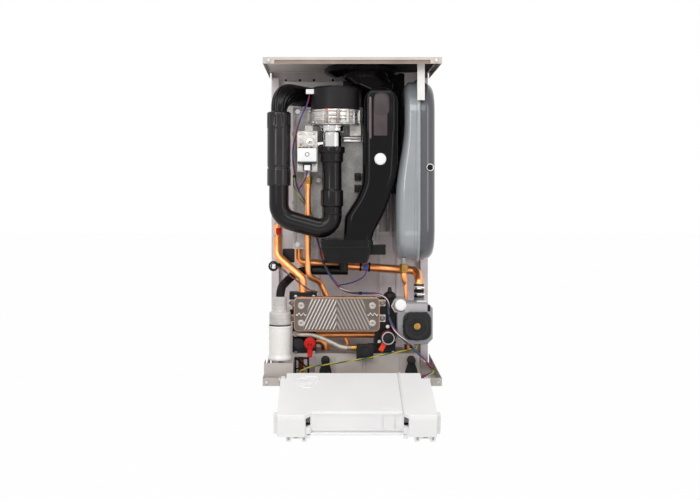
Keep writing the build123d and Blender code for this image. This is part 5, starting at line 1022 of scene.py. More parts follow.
# ------------------------------------------------------------------ flue and heat cell
@dataclass
class Flue(SubAssembly):
    """Socket, collector, duct, condensate sump and test cap."""

    back: float = 164.2
    head_x: float = 73.0
    spring: float = -61.0
    head_radius: float = 44.8
    head_round: float = 16.0
    panel_x: Span = (54.5, 94.0)
    panel_z: Span = (-142.0, -33.0)
    finishes: ClassVar[dict[str, Finish]] = {
        "flue_socket": WHITE_ABS, "flue_collector": BLACK_PP, "condensate_sump": BLACK_PP}

    def make(self) -> None:
        """Blow the duct, raise its panel, and add the cap and the sump's ribs and clips."""
        Form().skin(self.duct_body()).skin(self.duct_head()).piece(
            "flue_duct_blown", BLACK_GLOSS, "black_plastic", replaces=["flue_duct"])
        self.make_panel()
        Form().spin(FRONT, 71, -200.5,
                    [(0.6, 259.9), (12.4, 259.9), (14.9, 257.8), (14.9, 254.4), (8, 254.4),
                                        (8, 242), (0.6, 242)], 1.4, 48).piece(
            "test_cap_turned", WHITE_ABS, "white_plastic", "test_cap", ["flue_test_cap"])
        bands = Form()
        for z in ((-410, -406), (-424, -421)):
            bands.pad(FRONT, (-76, 50), z, (252.5, 255.4), 1.0, 0.8)
        for x in (-60, -24, 12):
            bands.pad(FRONT, (x - 2, x + 2), (-421, -410), (252.5, 255.0), 0.8, 0.6)
        bands.piece("sump_ribs", BLACK_PP, "black_plastic")
        tabs = Form()
        for x, z in ((-76, -372), (-62, -402), (54, -404)):
            tabs.pad(FRONT, (x - 3, x + 3), (z - 16, z + 6), (164, 168), 1.5, 0.8)
            tabs.screw(x, z, 168, 3.2, 2.0)
        tabs.piece("sump_clamp_screws", ZINC, "zinc")

    def duct_body(self) -> np.ndarray:
        """Blend rounded rectangles up the duct.

        Each side is read from a table against the height and evened out by a running mean.
        """
        z = np.array([-402, -384, -344, -300, -262, -240, -150, -110, -72, -48, -36, -24.0])
        left = np.array([-19, -19, -17, 12, 27, 28, 28, 28, 28, 33, 41, 52.0])
        right = np.array([52, 56, 78, 96, 106, 113, 118, 118, 118, 113, 105, 94.0])
        front = np.array([248, 248, 248, 250, 252, 252, 252, 251.2, 250, 247, 242, 232.0])
        fine = np.linspace(z[0], z[-1], 100)
        kernel = np.hanning(11) / np.hanning(11).sum()
        left, right, front = (np.convolve(np.pad(np.interp(fine, z, side), 5, "edge"), kernel, "valid")
                              for side in (left, right, front))
        deep = (front - self.back) / 2
        rings = rounded_ring((right - left) / 2, deep, np.minimum(22, deep * 0.95), 9)
        return UP.place(((left + right) / 2)[:, None] + rings[..., 0],
                        ((front + self.back) / 2)[:, None] + rings[..., 1], fine[:, None])

    def duct_head(self) -> np.ndarray:
        """Round off the duct's top.

        The half width is the head's radius times the cosine of a quarter turn while the height
        follows the sine, and the front falls back along a quarter circle near the crown.
        """
        turn = np.linspace(0, 1.52, 22)
        rise = np.concatenate([np.linspace(-70, 0, 10)[:-1], self.head_radius * np.sin(turn)])
        half = self.head_radius * np.cos(np.concatenate([np.zeros(9), turn])) - 0.1
        fall = np.clip(rise - self.head_radius + self.head_round, 0, self.head_round)
        face = 234 + np.sqrt(self.head_round ** 2 - fall ** 2) + np.clip(-rise / 45, 0, 0.9)
        back = np.interp(rise, [-10, 32], [205, 231.0])
        deep = (face - back) / 2
        rings = rounded_ring(half, deep, np.minimum(np.minimum(18, deep * 0.95), half * 0.95), 9)
        return UP.place(self.head_x + rings[..., 0], ((face + back) / 2)[:, None] + rings[..., 1],
                        self.spring + rise[:, None])

    def make_panel(self) -> None:
        """Raise the stippled panel with its bead, which is painted lighter as a highlight, and carry thin
        rims over both arches.
        """
        (left, right), (low, high) = self.panel_x, self.panel_z
        Form().pad(FRONT, self.panel_x, (high - 60, high), (250, 253.4), 17.0, 1.6).pad(
            FRONT, (left, right - 5), (low, high - 26), (250, 253.3), 3.0, 1.6).piece(
            "duct_panel", PANEL_BROWN, "black_plastic")
        # The bead's lighter colour is a painted highlight.
        Form().pad(FRONT, (42.5, 50), (-150, high - 10), (249.5, 252.8), 3.7, 3.0).piece(
            "duct_panel_painted_highlight", BEAD_PAINTED_HIGHLIGHT, "black_plastic")
        head = arched((self.head_x, 41), (-215, self.spring), 41, (251.4, 249.6), 6.5, 40)
        Form().tube(head, 1.3, 12).piece(
            "duct_head_rim", BLACK_GLOSS, "black_plastic")
        panel = ((left + right) / 2, (right - left) / 2 - 1.5)
        Form().tube(arched(panel, (high - 44, high - 20), 17, (253.2, 253.2)), 1.1, 12).piece(
            "duct_panel_rim", PANEL_BROWN, "black_plastic")


@dataclass
class HeatCell(SubAssembly):
    """Cast heat cell with its door, coil and burner."""

    finishes: ClassVar[dict[str, Finish]] = {
        "heat_cell_casing": SAND_CAST, "heat_cell_door": SAND_CAST, "heat_exchanger_coil": STAINLESS,
        "burner": STAINLESS}

    def make(self) -> None:
        """Add the door's bright rail, its rim and its lug caps."""
        Form().pad(FRONT, (-23, 28), (-152, -146), (163.5, 166.5), 1.5, 1.0).pad(
            FRONT, (-23, 28), (-143.5, -139), (163.5, 166.0), 1.5, 1.0).piece(
            "door_rail_caps", CHROME, "steel")
        Form().hoop((-39, -246), (105, 178), 10, 155.8, 2.0, 6).piece("door_rim", SAND_CAST, "cell_alloy")
        lugs = Form()
        for z in (-273, -243):
            lugs.pad(FRONT, (9, 26), (z - 10, z + 10), (163, 168.6), 2.5, 1.4)
        lugs.piece("door_lugs", BLACK_PP, "black_plastic")


# ------------------------------------------------------------------ gas
def seat_ring(name: str, x: float, radius: float) -> None:
    """Turn the rubber ring that seats a pipe of the given radius in the tray's floor."""
    Form().spin(UP, x, TAIL_D, [(radius - 0.1, -763), (radius + 2, -763), (radius + 2, -757),
                                (radius - 0.1, -757)], 0.8, 32).piece(name, RUBBER, "rubber")


@dataclass
class GasTrain(SubAssembly):
    """Gas valve, its actuator and the copper pipe that feeds it."""

    face: float = 222.0
    turret: Span = (-105.5, -156.0)
    pipe_x: float = -8.0
    finishes: ClassVar[dict[str, Finish]] = {"gas_valve_body": DIE_CAST}

    def make(self) -> None:
        """Build the valve and its actuator, and bend the pipe."""
        self.make_valve()
        self.make_actuator()
        route = [(-111, 187, -243), (-111, 187, -498), (-80, TAIL_D, -517), (self.pipe_x, TAIL_D, -676),
                 (self.pipe_x, TAIL_D, PIPE_END_Z)]
        path = bent(route, [22, 26, 40], 3.0)
        Form().tube(path, beads(path, 7.4, (22, 1.3, 9), (-2, 0, 1))).piece(
            "gas_pipe_bent", COPPER, "copper", replaces=["gas_pipe"])
        seat_ring("gas_pipe_seat", self.pipe_x, 7.5)

    def make_valve(self) -> None:
        """Lay the valve's plates, turn its turret and set its brass and zinc screws and dark gaskets."""
        face = self.face
        plates = Form().pad(FRONT, (-137.5, -86.5), (-171, -129), (face - 1, face + 2.2), 3, 0.8)
        for x in ((-137.5, -123), (-101, -86.5)):
            plates.pad(FRONT, x, (-231, -210), (face - 6, face + 1), 2, 0.8)
        plates.piece("valve_plate", DIE_CAST, "cast_alloy")
        Form().spin(FRONT, *self.turret, [(0.8, 231), (4.5, 231), (5, 229.4), (7, 229.4), (9.8, 228.6),
                                          (10.2, 224), (10.2, 222)], 0.8, 96,
                    lambda height, angle: 0.25 * np.cos(24 * angle)).piece("valve_turret", CHROME, "steel")
        brass = Form().screw(*self.turret, 231, 2.4, 2.0)
        for x, z, radius in ((-93.5, -157, 3.0), (-128.5, -163, 2.6)):
            brass.screw(x, z, 224, radius, 2.0)
        brass.piece("valve_brass_screws", BRASS, "brass")
        screws = Form()
        for x, z, seat in ((-130, -135, 2), (-94, -135, 2), (-130, -150, 2), (-130, -222, 0.8),
                           (-94, -222, 0.8)):
            screws.screw(x, z, face + seat, 3.6, 2.2)
        screws.piece("valve_corner_screws", ZINC, "zinc")
        dark = Form()
        for x in (-131, -121, -113, -102):
            dark.pad(FRONT, (x - 3, x + 3), (-171, -168), (face + 1, face + 2.8), 0.8, 0.4)
        dark.pad(FRONT, (-136, -88), (-210.5, -206.5), (face - 4, face + 19), 1.0, 0.8)
        dark.pad(FRONT, (-122, -102), (-230, -211), (face - 5, face + 0.4), 1.0, 0.4)
        dark.piece("valve_gasket", GASKET, "black_plastic")

    def make_actuator(self) -> None:
        """Mould the actuator's block with its plug socket, and lay the ring on its face."""
        face = self.face
        Form().pad(FRONT, (-136.8, -88.2), (-206.5, -172.2), (face, face + 19.8), 3.5, 2.2).pad(
            FRONT, (-120, -104), (-228.5, -214), (face - 5, face + 7.8), 1.5, 0.8).piece(
            "actuator_block", WHITE_ABS, "white_plastic", replaces=["gas_valve_actuator"])
        Form().spin(FRONT, -112, -188, [(3.6, 241.5), (3.9, 242), (5.6, 242), (6.0, 241.5)], 0.3, 40,
                    loop=True).piece("actuator_ring", KNOB_GREY, "white_plastic")


# ------------------------------------------------------------------ expansion vessel
@dataclass
class Vessel(SubAssembly):
    """The flat expansion vessel: two pressed shells joined at a rolled seam."""

    left: float = 112.2
    left_at_top: float = 134.2
    right: float = 210.8
    seam_x: float = 168.0
    back: float = 30.2
    front: float = 249.8
    low: float = -460.8
    high: float = 3.8
    corner: float = 85.0
    rim: float = 28.0
    lean: float = 2.5
    valve: Span = (196.0, -221.0)
    finishes: ClassVar[dict[str, Finish]] = {"vessel_diaphragm": RUBBER}

    def make(self) -> None:
        """Press both shells, roll the seam, and add the air valve and the connection boss."""
        Form().skin(self.shell(-1)).spin(
            UP, 134, 200, [(1, -466), (6, -466), (6, -450), (1, -450)], 0.8, 24).piece(
            "vessel_left_pressed", VESSEL_PAINT, "vessel_grey", replaces=["vessel_shell_left"])
        # The right shell takes the darker copy of the enamel: painted shade.
        Form().skin(self.shell(1)).piece(
            "vessel_right_pressed", VESSEL_PAINT_SHADED, "vessel_grey", replaces=["vessel_shell_right"])
        self.make_seam()
        Form().spin(FRONT, *self.valve, [(0.8, 256.6), (3.4, 256.6), (3.8, 253), (6.2, 252), (6.4, 233),
                                         (0.8, 233)], 0.8, 32).piece(
            "vessel_air_valve", RUBBER, "vessel_grey")
        Form().spin(FRONT, *self.valve, [(6.6, 249.5), (7.2, 251.2), (9.0, 251.2), (9.8, 249.5)], 0.5, 32,
                    loop=True).piece("air_valve_ring", CHROME, "steel")

    def outline(self, draw: np.ndarray, corner: np.ndarray, steps: int,
                between: int = 0) -> tuple[np.ndarray, np.ndarray]:
        """Give the places d and z of the vessel's outline, drawn in by each of the given amounts."""
        rings = rounded_ring((self.front - self.back) / 2 - draw, (self.high - self.low) / 2 - draw, corner,
                             steps, between)
        return (self.front + self.back) / 2 + rings[..., 0], (self.high + self.low) / 2 + rings[..., 1]

    def shell(self, side: int) -> np.ndarray:
        """Press one shell: rings of the vessel's outline, drawn in as they near the flat face.

        The way from the seam to the face is shared out by level. The wall leans in a little, then
        follows a quarter circle onto the face, which sinks by a smooth step 30 mm further in.
        """
        reach = self.seam_x - self.left if side < 0 else self.right - self.seam_x
        wall = np.array([0, 0.1, 0.35, 0.38, 1.0]) * (reach - self.rim)
        lean = np.array([0, 0.3, 1.0, 2.2, self.lean])
        arc = np.linspace(0, QUARTER_TURN, 14)[1:]
        sink = np.linspace(0, 1, 8)[1:]
        far = np.concatenate([wall, reach - self.rim + self.rim * np.sin(arc), reach - 3.0 * eased(sink),
                              [reach - 3.0]])
        draw = np.concatenate([lean, self.lean + self.rim * (1 - np.cos(arc)), 48.5 + 26 * sink, [100.0]])
        d, z = self.outline(draw, np.maximum(self.corner - draw, 4), 16, 16)
        share = (far / reach)[:, None]
        if side > 0:
            return SIDE.place(d, z, self.seam_x + reach * share)
        face = self.left + (self.left_at_top - self.left) * eased(np.clip((z + 290) / 180, 0, 1))
        return SIDE.place(d, z, self.seam_x - (self.seam_x - face) * share)

    def make_seam(self) -> None:
        """Roll the seam band: a rounded strip carried round the vessel's outline."""
        draw = np.array([0.4, -1.8, -2.4, -2.4, -1.8, 0.4])
        along = np.array([-3.9, -3.6, -2.6, 2.6, 3.6, 3.9])
        d, z = self.outline(draw, self.corner - draw, 16)
        Form().skin(SIDE.place(d, z, self.seam_x + along[:, None]), loop=True).piece(
            "vessel_seam", VESSEL_PAINT, "vessel_grey")


# ------------------------------------------------------------------ copper pipes
@dataclass
class CopperWork(SubAssembly):
    """Copper pipes, brass nuts and the sensors clipped to them."""

    large: float = 10.9
    sleeve: Span = (177.0, 155.0)
    finishes: ClassVar[dict[str, Finish]] = {"brass_fittings": BRASS}

    def make(self) -> None:
        """Bend the pipes and clip the sensors on."""
        self.make_pipes()
        self.make_tails()
        self.make_sensors()
        self.make_coupling()

    def make_pipes(self) -> None:
        """Bend the flow, return and vessel pipes, each with its formed ends."""
        flow = bent([(-150, 128, -352), (-190, 128, -352), (-190, 176, -447), (-125, 198, -503),
                     (-125, 198, -538)], [20, 30, 14], 3.0)
        Form().tube(flow, beads(flow, self.large, (-5, 0.1, 3)), 36).piece(
            "flow_pipe_bent", COPPER, "copper", replaces=["flow_pipe"])
        back = bent([(-137, 110, -430), (-137, 110, -468), (177, 110, -490), (177, 155, -512),
                     (177, 155, -556)],
                    [16, 20, 12], 3.0)
        Form().tube(back, self.large, 36).piece(
            "return_pipe_bent", COPPER, "copper", replaces=["return_pipe"])
        feed = bent([(134, 200, -487), (134, 200, -500), (139, 194, -520), (139, 194, -560)], [18, 20], 1.5)
        Form().tube(feed, beads(feed, 4.9, (14, 2.6, 12)), 24).piece(
            "vessel_pipe_bent", COPPER, "copper", replaces=["vessel_pipe"])

    def make_tails(self) -> None:
        """Make the pipes that leave through the floor, with their seating rings."""
        tails = Form()
        for x, radius, top in ((-130, 7.5, -691), (78, 7.5, -691), (150, 11.0, -662)):
            line = bent([(x, TAIL_D, PIPE_END_Z), (x, TAIL_D, top)], step=5.0)
            tails.tube(line, beads(line, radius - 0.1, (3, 0.1, 2)))
        tails.tube(bent([(-66, TAIL_D, PIPE_END_Z), (-66, TAIL_D, -668), (-90, TAIL_D, -668)], [18], 3.0),
                   self.large)
        tails.tube(bent([(-90, 178, -650), (60, 178, -650)], step=5.0), 7.9, 28)
        tails.piece("connection_pipes_bent", COPPER, "copper", replaces=["connection_pipes"])
        for name, x, radius in (("hot_water_seat", -130, 7.5), ("flow_seat", -66, 11),
                                ("cold_water_seat", 78, 7.5), ("return_seat", 150, 11)):
            seat_ring(name, x, radius)

    def make_sensors(self) -> None:
        """Make the red and the blue clip-on sensors and the black pressure sensor with its ring."""
        Form().pad(FRONT, (-194, -180), (-391, -375.5), (158, 171), 2.0, 1.2).pad(
            FRONT, (-191, -183), (-387, -380), (170, 173.5), 1.5, 0.8).piece(
            "flow_sensor_clip", RED_ACETAL, "red_plastic")
        path = bent([(-190, 128, -352), (-190, 176, -447)], step=1.0)
        Form().tube(path[13:19], 12.2).tube(path[48:54], 12.2).piece("flow_pipe_bands", ZINC, "zinc")
        Form().pad(FRONT, (31, 46), (-487, -473), (119, 132), 2.0, 1.2).pad(
            FRONT, (34, 43), (-483, -477), (131, 134), 1.5, 0.8).piece(
            "return_sensor_clip", BLUE_ACETAL, "red_plastic")
        line = bent([(22, 110, -478.6), (54, 110, -480.8)], step=1.0)
        Form().tube(line[2:8], 12.3).tube(line[-8:-2], 12.3).piece(
            "return_pipe_bands", GLASS_FILLED, "black_plastic")
        Form().pad(FRONT, (-178, -147), (-466, -430.2), (130.2, 149.6), 3, 1.2).spin(
            FRONT, -201, -474, [(8.5, 150), (12.9, 150), (12.9, 171), (11.5, 172), (9, 172), (8.5, 171)],
            0.8, 48, lambda height, angle: 0.5 * np.cos(12 * angle), loop=True).pad(
            FRONT, (-208, -180), (-480, -468), (141, 156), 4, 1.2).piece(
            "pressure_sensor", GLASS_FILLED, "composite", replaces=["pipe_sensors"])

    def make_coupling(self) -> None:
        """Make the rubber sleeve on the return pipe's end with its two worm-drive clips."""
        Form().spin(UP, *self.sleeve, [(11, -555.8), (13, -555.8), (13, -521), (11, -521)], 0.8, 40).piece(
            "return_sleeve", RUBBER, "rubber")
        clips = Form()
        for z in (-548, -530):
            band = [(13.1, z - 4.5), (14.0, z - 4.5), (14.0, z + 4.5), (13.1, z + 4.5)]
            clips.spin(UP, *self.sleeve, band, 0.4, 40, loop=True)
            clips.pad(FRONT, (170, 184), (z - 4, z + 4), (168, 173.5), 2.0, 1.5)
            clips.spin(SIDE, 171, z, [(0.6, 182), (3.8, 182), (3.8, 190), (0.6, 190)], 0.6, 20)
        clips.piece("hose_clips", CHROME, "steel")


# ------------------------------------------------------------------ plate heat exchanger
@dataclass
class Exchanger(SubAssembly):
    """Brazed plate pack with its pressed front plate."""

    x: Span = (-145.0, 70.0)
    z: Span = (-632.0, -547.0)
    face: float = 252.0
    rear: float = 249.2
    pitch: float = 8.8
    lean: float = 64.4
    crest: float = 2.0
    right_share: float = 0.42
    port: float = 9.5
    port_height: float = 21.75
    corner: float = 11.7
    edge: float = 1.2
    finishes: ClassVar[dict[str, Finish]] = {"plate_exchanger": STAINLESS}

    def make(self) -> None:
        """Press the front plate, and add the copper braze lines, a thin copper line on its rim that paints a
        reflection of copper, and the ears' nuts.
        """
        self.make_front()
        middle = (sum(self.x) / 2, sum(self.z) / 2)
        half = np.array([self.x[1] - self.x[0], self.z[1] - self.z[0]]) / 2
        lines = Form()
        for depth in (249.2, 244.8, 240.8, 236.8, 232.8, 228.8, 224.8, 220.8):
            lines.hoop(middle, half - 0.9, 11.2, depth, 0.95)
        lines.piece("braze_lines", COPPER, "copper")
        # A thin copper line on the front plate's rim: a painted reflection of copper.
        Form().hoop(middle, half - 0.7, 11.2, 250.6, 0.8).piece("front_plate_painted_copper_reflection", COPPER, "copper")
        nuts = Form()
        for x in (-150.5, 78):
            for z in (-564, -603):
                nuts.spin(FRONT, x, z, [(0.6, 219), (4.2, 219), (4.4, 217), (7.4, 216.6), (7.6, 215.2),
                                        (0.6, 215.2)], 0.5, 32)
        nuts.piece("ear_nuts", DULL_NICKEL, "steel")

    def make_front(self) -> None:
        """Work out the front plate as a height over a grid of u across it and v up it.

        On each line of v, u runs between the rounded outline's sides: half the width there is half_x
        less corner - sqrt(corner^2 - (|v| - half_z + corner)^2). Each half carries slanting waves,
        crest times half of one plus the cosine of the way across them over their pitch, raised to
        1.7 so that the crests are narrow, and lower on the right half. They fade out near the rim, at
        the middle line and round the ports, where discs and a low zigzag rise.
        """
        half_x, half_z = (self.x[1] - self.x[0]) / 2 - 0.3, (self.z[1] - self.z[0]) / 2 - 0.3
        v = np.linspace(-half_z, half_z, 96)[:, None]
        inward = np.clip(np.abs(v) - half_z + self.corner, 0, self.corner)
        side = half_x - self.corner + np.sqrt(self.corner ** 2 - inward ** 2)
        u = side * np.linspace(-1, 1, 265)[None, :]
        out, slant = np.abs(u), v / math.tan(math.radians(self.lean))
        wave = self.crest * (0.5 + 0.5 * np.cos(FULL_TURN * ((out + slant) / self.pitch))) ** 1.7
        wave = wave * np.where(u > 0, self.right_share, 1.0)
        edge = np.minimum(side - out, half_z - np.abs(v))
        field_end = half_x - 33 - (out + slant * 0.55 - 3)
        share = np.clip(field_end / 3, 0, 1) * np.clip(out / 1.4 - 0.2, 0, 1)
        share = share * np.clip((edge - 3.2) / 2, 0, 1)
        port = np.hypot(out - (half_x - 18), np.abs(v) - self.port_height)
        disc = 1.05 * np.clip((self.port - port) / 2.5, 0, 1) - 0.7 * np.clip((3.0 - port) / 1.2, 0, 1)
        zigzag = 2.2 * np.exp(-((v + 3.0 - 6.0 * np.abs((out / 10.5) % 1 * 2 - 1)) / 1.7) ** 2)
        zigzag = zigzag * np.clip((out - half_x + 32) / 3, 0, 1) * np.clip((edge - 4) / 2, 0, 1)
        rim = self.edge - np.sqrt(self.edge ** 2 - (self.edge - np.clip(edge, 0, self.edge)) ** 2)
        height = self.face - 0.2 + wave * share + np.maximum(disc, zigzag) * (1 - share) - rim
        height = height + 0.5 * np.exp(-((edge - 1.6) / 1.0) ** 2)
        x, z = sum(self.x) / 2 + u, sum(self.z) / 2 + np.broadcast_to(v, u.shape)
        front = FRONT.place(x, z, height)
        back = FRONT.place(x[:, ::-24], z[:, ::-24], np.full_like(x[:, ::-24], self.rear))
        Form().skin(np.concatenate([front, back], axis=1)).piece(
            "front_plate_pressed", PRESSED_STEEL, "steel", replaces=["exchanger_front_plate"], crease=70)


# ------------------------------------------------------------------ hydraulic blocks
@dataclass
class Hydraulics(SubAssembly):
    """Moulded hydraulic blocks, the filling hose, levers and taps."""

    relief: Span = (91.0, -648.5)
    relief_reach: float = 27.0
    relief_angle: float = 30.0
    lever: Span = (-105.0, -661.0)
    tap_z: float = -706.0
    braid_step: float = 0.8
    braid_lay: float = 14.0
    finishes: ClassVar[dict[str, Finish]] = {
        "hydraulic_block_left": GLASS_FILLED, "hydraulic_block_right": GLASS_FILLED}

    def make(self) -> None:
        """Build the hose, the levers, the taps and the small fittings on the blocks."""
        self.make_hose()
        self.make_relief()
        self.make_lever()
        self.make_taps()
        plugs = Form()
        for x, z in ((self.relief[0], -622.5), (70, -661)):
            plugs.spin(FRONT, x, z, [(0.6, 231.5), (4.4, 231.5), (4.8, 230), (4.8, 226)], 0.8, 24)
        plugs.piece("white_plugs", WHITE_ABS, "white_plastic")
        rod = bent([(42, 232, -667), (112, 232, -662)], step=6.0)
        Form().tube(rod, 2.2, 16).piece("bypass_rod", GLASS_FILLED, "steel")
        studs = Form()
        for x, d, z in ((-142, 212, -548), (-96, 212, -548), (-142, 212, -690), (-96, 212, -690),
                        (66, 212, -566), (106, 212, -690)):
            studs.screw(x, z, d, 4.2, 3.0)
        studs.piece("block_screws", ZINC, "zinc")

    def make_hose(self) -> None:
        """Braid the filling hose: two opposed helices lift the radius where either is high."""
        points = resampled(spline_points([(-142, 212, -641), (-142, 238, -641), (-92, 238, -641.5),
                                          (-42, 238, -666), (-22, 238, -675), (-2, 238, -675)]),
                           self.braid_step)

        def braid(along: np.ndarray, angle: np.ndarray) -> np.ndarray:
            """Raise the higher of two waves that wind opposite ways."""
            turns = along * len(points) * self.braid_step / self.braid_lay * 2 * math.pi
            return 0.35 * np.maximum(np.sin(4 * angle + turns * 4), np.sin(4 * angle - turns * 4)) - 0.35

        Form().tube(points, 5.9, 32, braid).piece(
            "filling_hose_braided", BRAID, "braid", replaces=["filling_hose"], crease=80)
        ferrules = Form()
        for ends in (((-12, 238, -675), (-1, 238, -675)), ((-142, 216, -641), (-142, 230, -641))):
            line = bent(ends, step=1.0)
            ferrules.tube(line, beads(line, 6.6, (2, 0.4, 1), (-2, 0.4, 1)), 28)
        ferrules.piece("hose_ferrules", DULL_NICKEL, "steel")

    def make_relief(self) -> None:
        """Turn the relief valve's bright ring and black knob, and mould its orange-red lever."""
        x, z = self.relief
        Form().spin(FRONT, x, z,
                    [(13.2, 250), (13.2, 256), (13.9, 257.2), (15.7, 257.2), (16.6, 256), (16.6, 250)],
                    0.7, loop=True).piece("relief_ring", SATIN_STEEL, "steel")
        Form().spin(FRONT, x, z,
                    [(0.6, 255.4), (4, 255.4), (5, 253.6), (11.8, 253), (12.8, 250), (0.6, 250)], 1.0,
                    48, lambda height, angle: 0.3 * np.cos(8 * angle)).piece(
            "relief_knob", GLASS_FILLED, "composite")
        angle = math.radians(self.relief_angle)
        middle = (x - self.relief_reach * math.sin(angle), z - self.relief_reach * math.cos(angle))
        Form().spin(FRONT, x, z, [(13.4, 238.2), (16.8, 238.2), (16.8, 245.3), (13.4, 245.3)], 0.8, 48,
                    loop=True).block(
            FRONT, middle, (6.2, 11.6), (238.2, 245.3), 2.0, 1.2, -self.relief_angle).piece(
            "relief_lever_moulded", ORANGE_ACETAL, "red_plastic", "relief_handle", ["relief_lever"])

    def make_lever(self) -> None:
        """Mould the filling lever: a domed head with two slots and a waisted grip."""
        x, z = self.lever
        form = Form().spin(FRONT, x, z, [(0.6, 262), (11, 262), (14.8, 259.5), (14.8, 251.5), (12, 250.2),
                                         (0.6, 250.2)], 1.8)
        form.pad(FRONT, (x - 6.1, x + 6.1), (z - 34.8, z - 8), (251.2, 260.8), 2.5, 1.5)
        form.spin(FRONT, x, z, [(0.6, 202), (4.8, 202), (4.8, 251), (0.6, 251)], 0.6, 24)
        form.piece("filling_lever_moulded", RED_ACETAL, "red_plastic", "fill_handle", ["filling_lever"])
        slots = Form()
        for middle in (x - 3.4, x + 3.4):
            slots.pad(FRONT, (middle - 1.3, middle + 1.3), (z - 6, z + 1), (261.2, 262), 0.8, 0.2)
        slots.piece("filling_lever_slots", DEEP_RED, "red_plastic", "fill_handle")

    def make_taps(self) -> None:
        """Mould the two taps: a hub on a stem and a bell-shaped grip that widens downwards."""
        level = np.linspace(0, 1, 12)
        rings = rounded_ring(8.5 + 7.2 * eased(level), 5.6, 3.0, 5)
        for name, x, body in (("flow_tap", -66.0, "flow_handle"), ("return_tap", 150.0, "return_handle")):
            form = Form()
            form.spin(FRONT, x, self.tap_z, [(0.6, 161.4), (4.8, 161.4), (4.8, 232), (0.6, 232)], 0.6, 24)
            form.spin(FRONT, x, self.tap_z, [(0.6, 248), (8, 248), (10.8, 245.4), (10.8, 230.4),
                                             (0.6, 230.4)], 1.2, 40)
            form.skin(UP.place(x + rings[..., 0], 240 + rings[..., 1], (self.tap_z - 31.6 * level)[:, None]))
            form.piece(name + "_moulded", GLASS_FILLED, "composite", body, [name])


# ------------------------------------------------------------------ pump
@dataclass
class Pump(SubAssembly):
    """Circulating pump: body, motor cover, rotor and venting cap."""

    axis: Span = (162.5, -619.0)
    face: float = 248.0
    finishes: ClassVar[dict[str, Finish]] = {
        "pump_body": PUMP_GREY, "pump_motor_cover": MOTOR_BLACK, "pump_rotor": STAINLESS}

    def make(self) -> None:
        """Add the shoulder plate, the connector and the gland, the motor's face and the cap."""
        face = self.face
        Form().pad(FRONT, (132, 189), (-585, -563.5), (face - 0.6, face + 1.6), 2.5, 1.0).piece(
            "pump_shoulder_plate", SHOULDER_GREY, "pump_grey")
        Form().pad(UP, (164, 189), (222, 236), (-560.2, -557), 1.5, 1.0).piece(
            "pump_connector", WHITE_ABS, "white_plastic")
        Form().pad(FRONT, (190, 197), (-582, -566), (240, 248.8), 1.5, 1.0).piece(
            "pump_cable_gland", RUBBER, "rubber")
        Form().pad(FRONT, (128, 198.5), (-653, -583.5), (face - 0.5, face + 4.4), 19, 1.8).spin(
            FRONT, *self.axis, [(32.2, 252), (32.2, 256.5), (33.2, 257.6), (34.6, 256.5), (34.8, 252)], 0.8,
            64, loop=True).piece("motor_face_plate", MOTOR_BLACK, "composite")
        rings = Form()
        for inner, outer, depth in ((29.5, 31.8, 260.4), (21, 22.6, 260.0), (13, 15, 259.6)):
            rings.spin(FRONT, *self.axis, [(inner, 257), (inner, depth), (outer, depth), (outer, 257)], 0.5,
                       64, loop=True)
        rings.piece("motor_face_rings", MOTOR_BLACK, "composite")
        Form().spin(FRONT, 123, -566.5, [(0.6, 251.8), (11.5, 251.8), (14.8, 249), (14.8, 236), (6, 235.4),
                                         (6, 217), (0.6, 217)], 2.0, 56,
                    lambda height, angle: np.where(height > 236.5, 0.15 * np.cos(18 * angle), 0.0)).piece(
            "vent_cap_turned", WHITE_ABS, "white_plastic", "vent_cap", ["pump_vent_cap"])
        Form().spin(FRONT, 117.5, -569.5, [(15.6, 231), (18.8, 231), (18.8, 236.6), (15.6, 236.6)], 1.0, 6,
                    loop=True).piece("vent_hexagon", DIE_CAST, "cast_alloy", crease=25)


# ------------------------------------------------------------------ condensate
@dataclass
class Siphon(SubAssembly):
    """Siphon body with its cup and the rubber drain hose."""

    axis: Span = (-180.0, 240.0)

    def make(self) -> None:
        """Turn the body, the cup and the seal between them, and lay the hose along its route."""
        Form().spin(UP, *self.axis, [
            (11, -545.2), (15.4, -545.2), (17.4, -549), (17.4, -566), (16.4, -568), (17.4, -570),
            (17.4, -578), (21.4, -583), (26.4, -584), (27.3, -588), (27.3, -600), (26.6, -602),
            (27.3, -604), (27.3, -613), (25.4, -615.8), (11, -615.8)], 1.2, 64).piece(
            "siphon_body_turned", CLOUDY_PP, "white_plastic", replaces=["siphon_body"])
        Form().spin(UP, *self.axis, [
            (11, -617.6), (28.8, -617.6), (28.8, -622), (27.9, -624), (27.9, -690), (30.8, -697.5),
            (30.8, -702.9), (2, -702.9)], 1.6, 64).piece(
            "siphon_cup_turned", MILKY_PP, "milky_plastic", "cup", ["siphon_cup"])
        Form().spin(UP, *self.axis, [(26.0, -617.5), (28.0, -617.5), (28.0, -615.9), (26.0, -615.9)], 0.4,
                    64, loop=True).piece("siphon_seal", RUBBER, "rubber")
        route = [(-100, 156, -485), (-134, 156, -485), (-169, 182, -514), (-180, 240, -526),
                 (-180, 240, -557)]
        Form().tube(resampled(spline_points(route), 2.5), 10.7, 36).piece(
            "drain_hose_laid", RUBBER, "rubber", replaces=["drain_hose"])


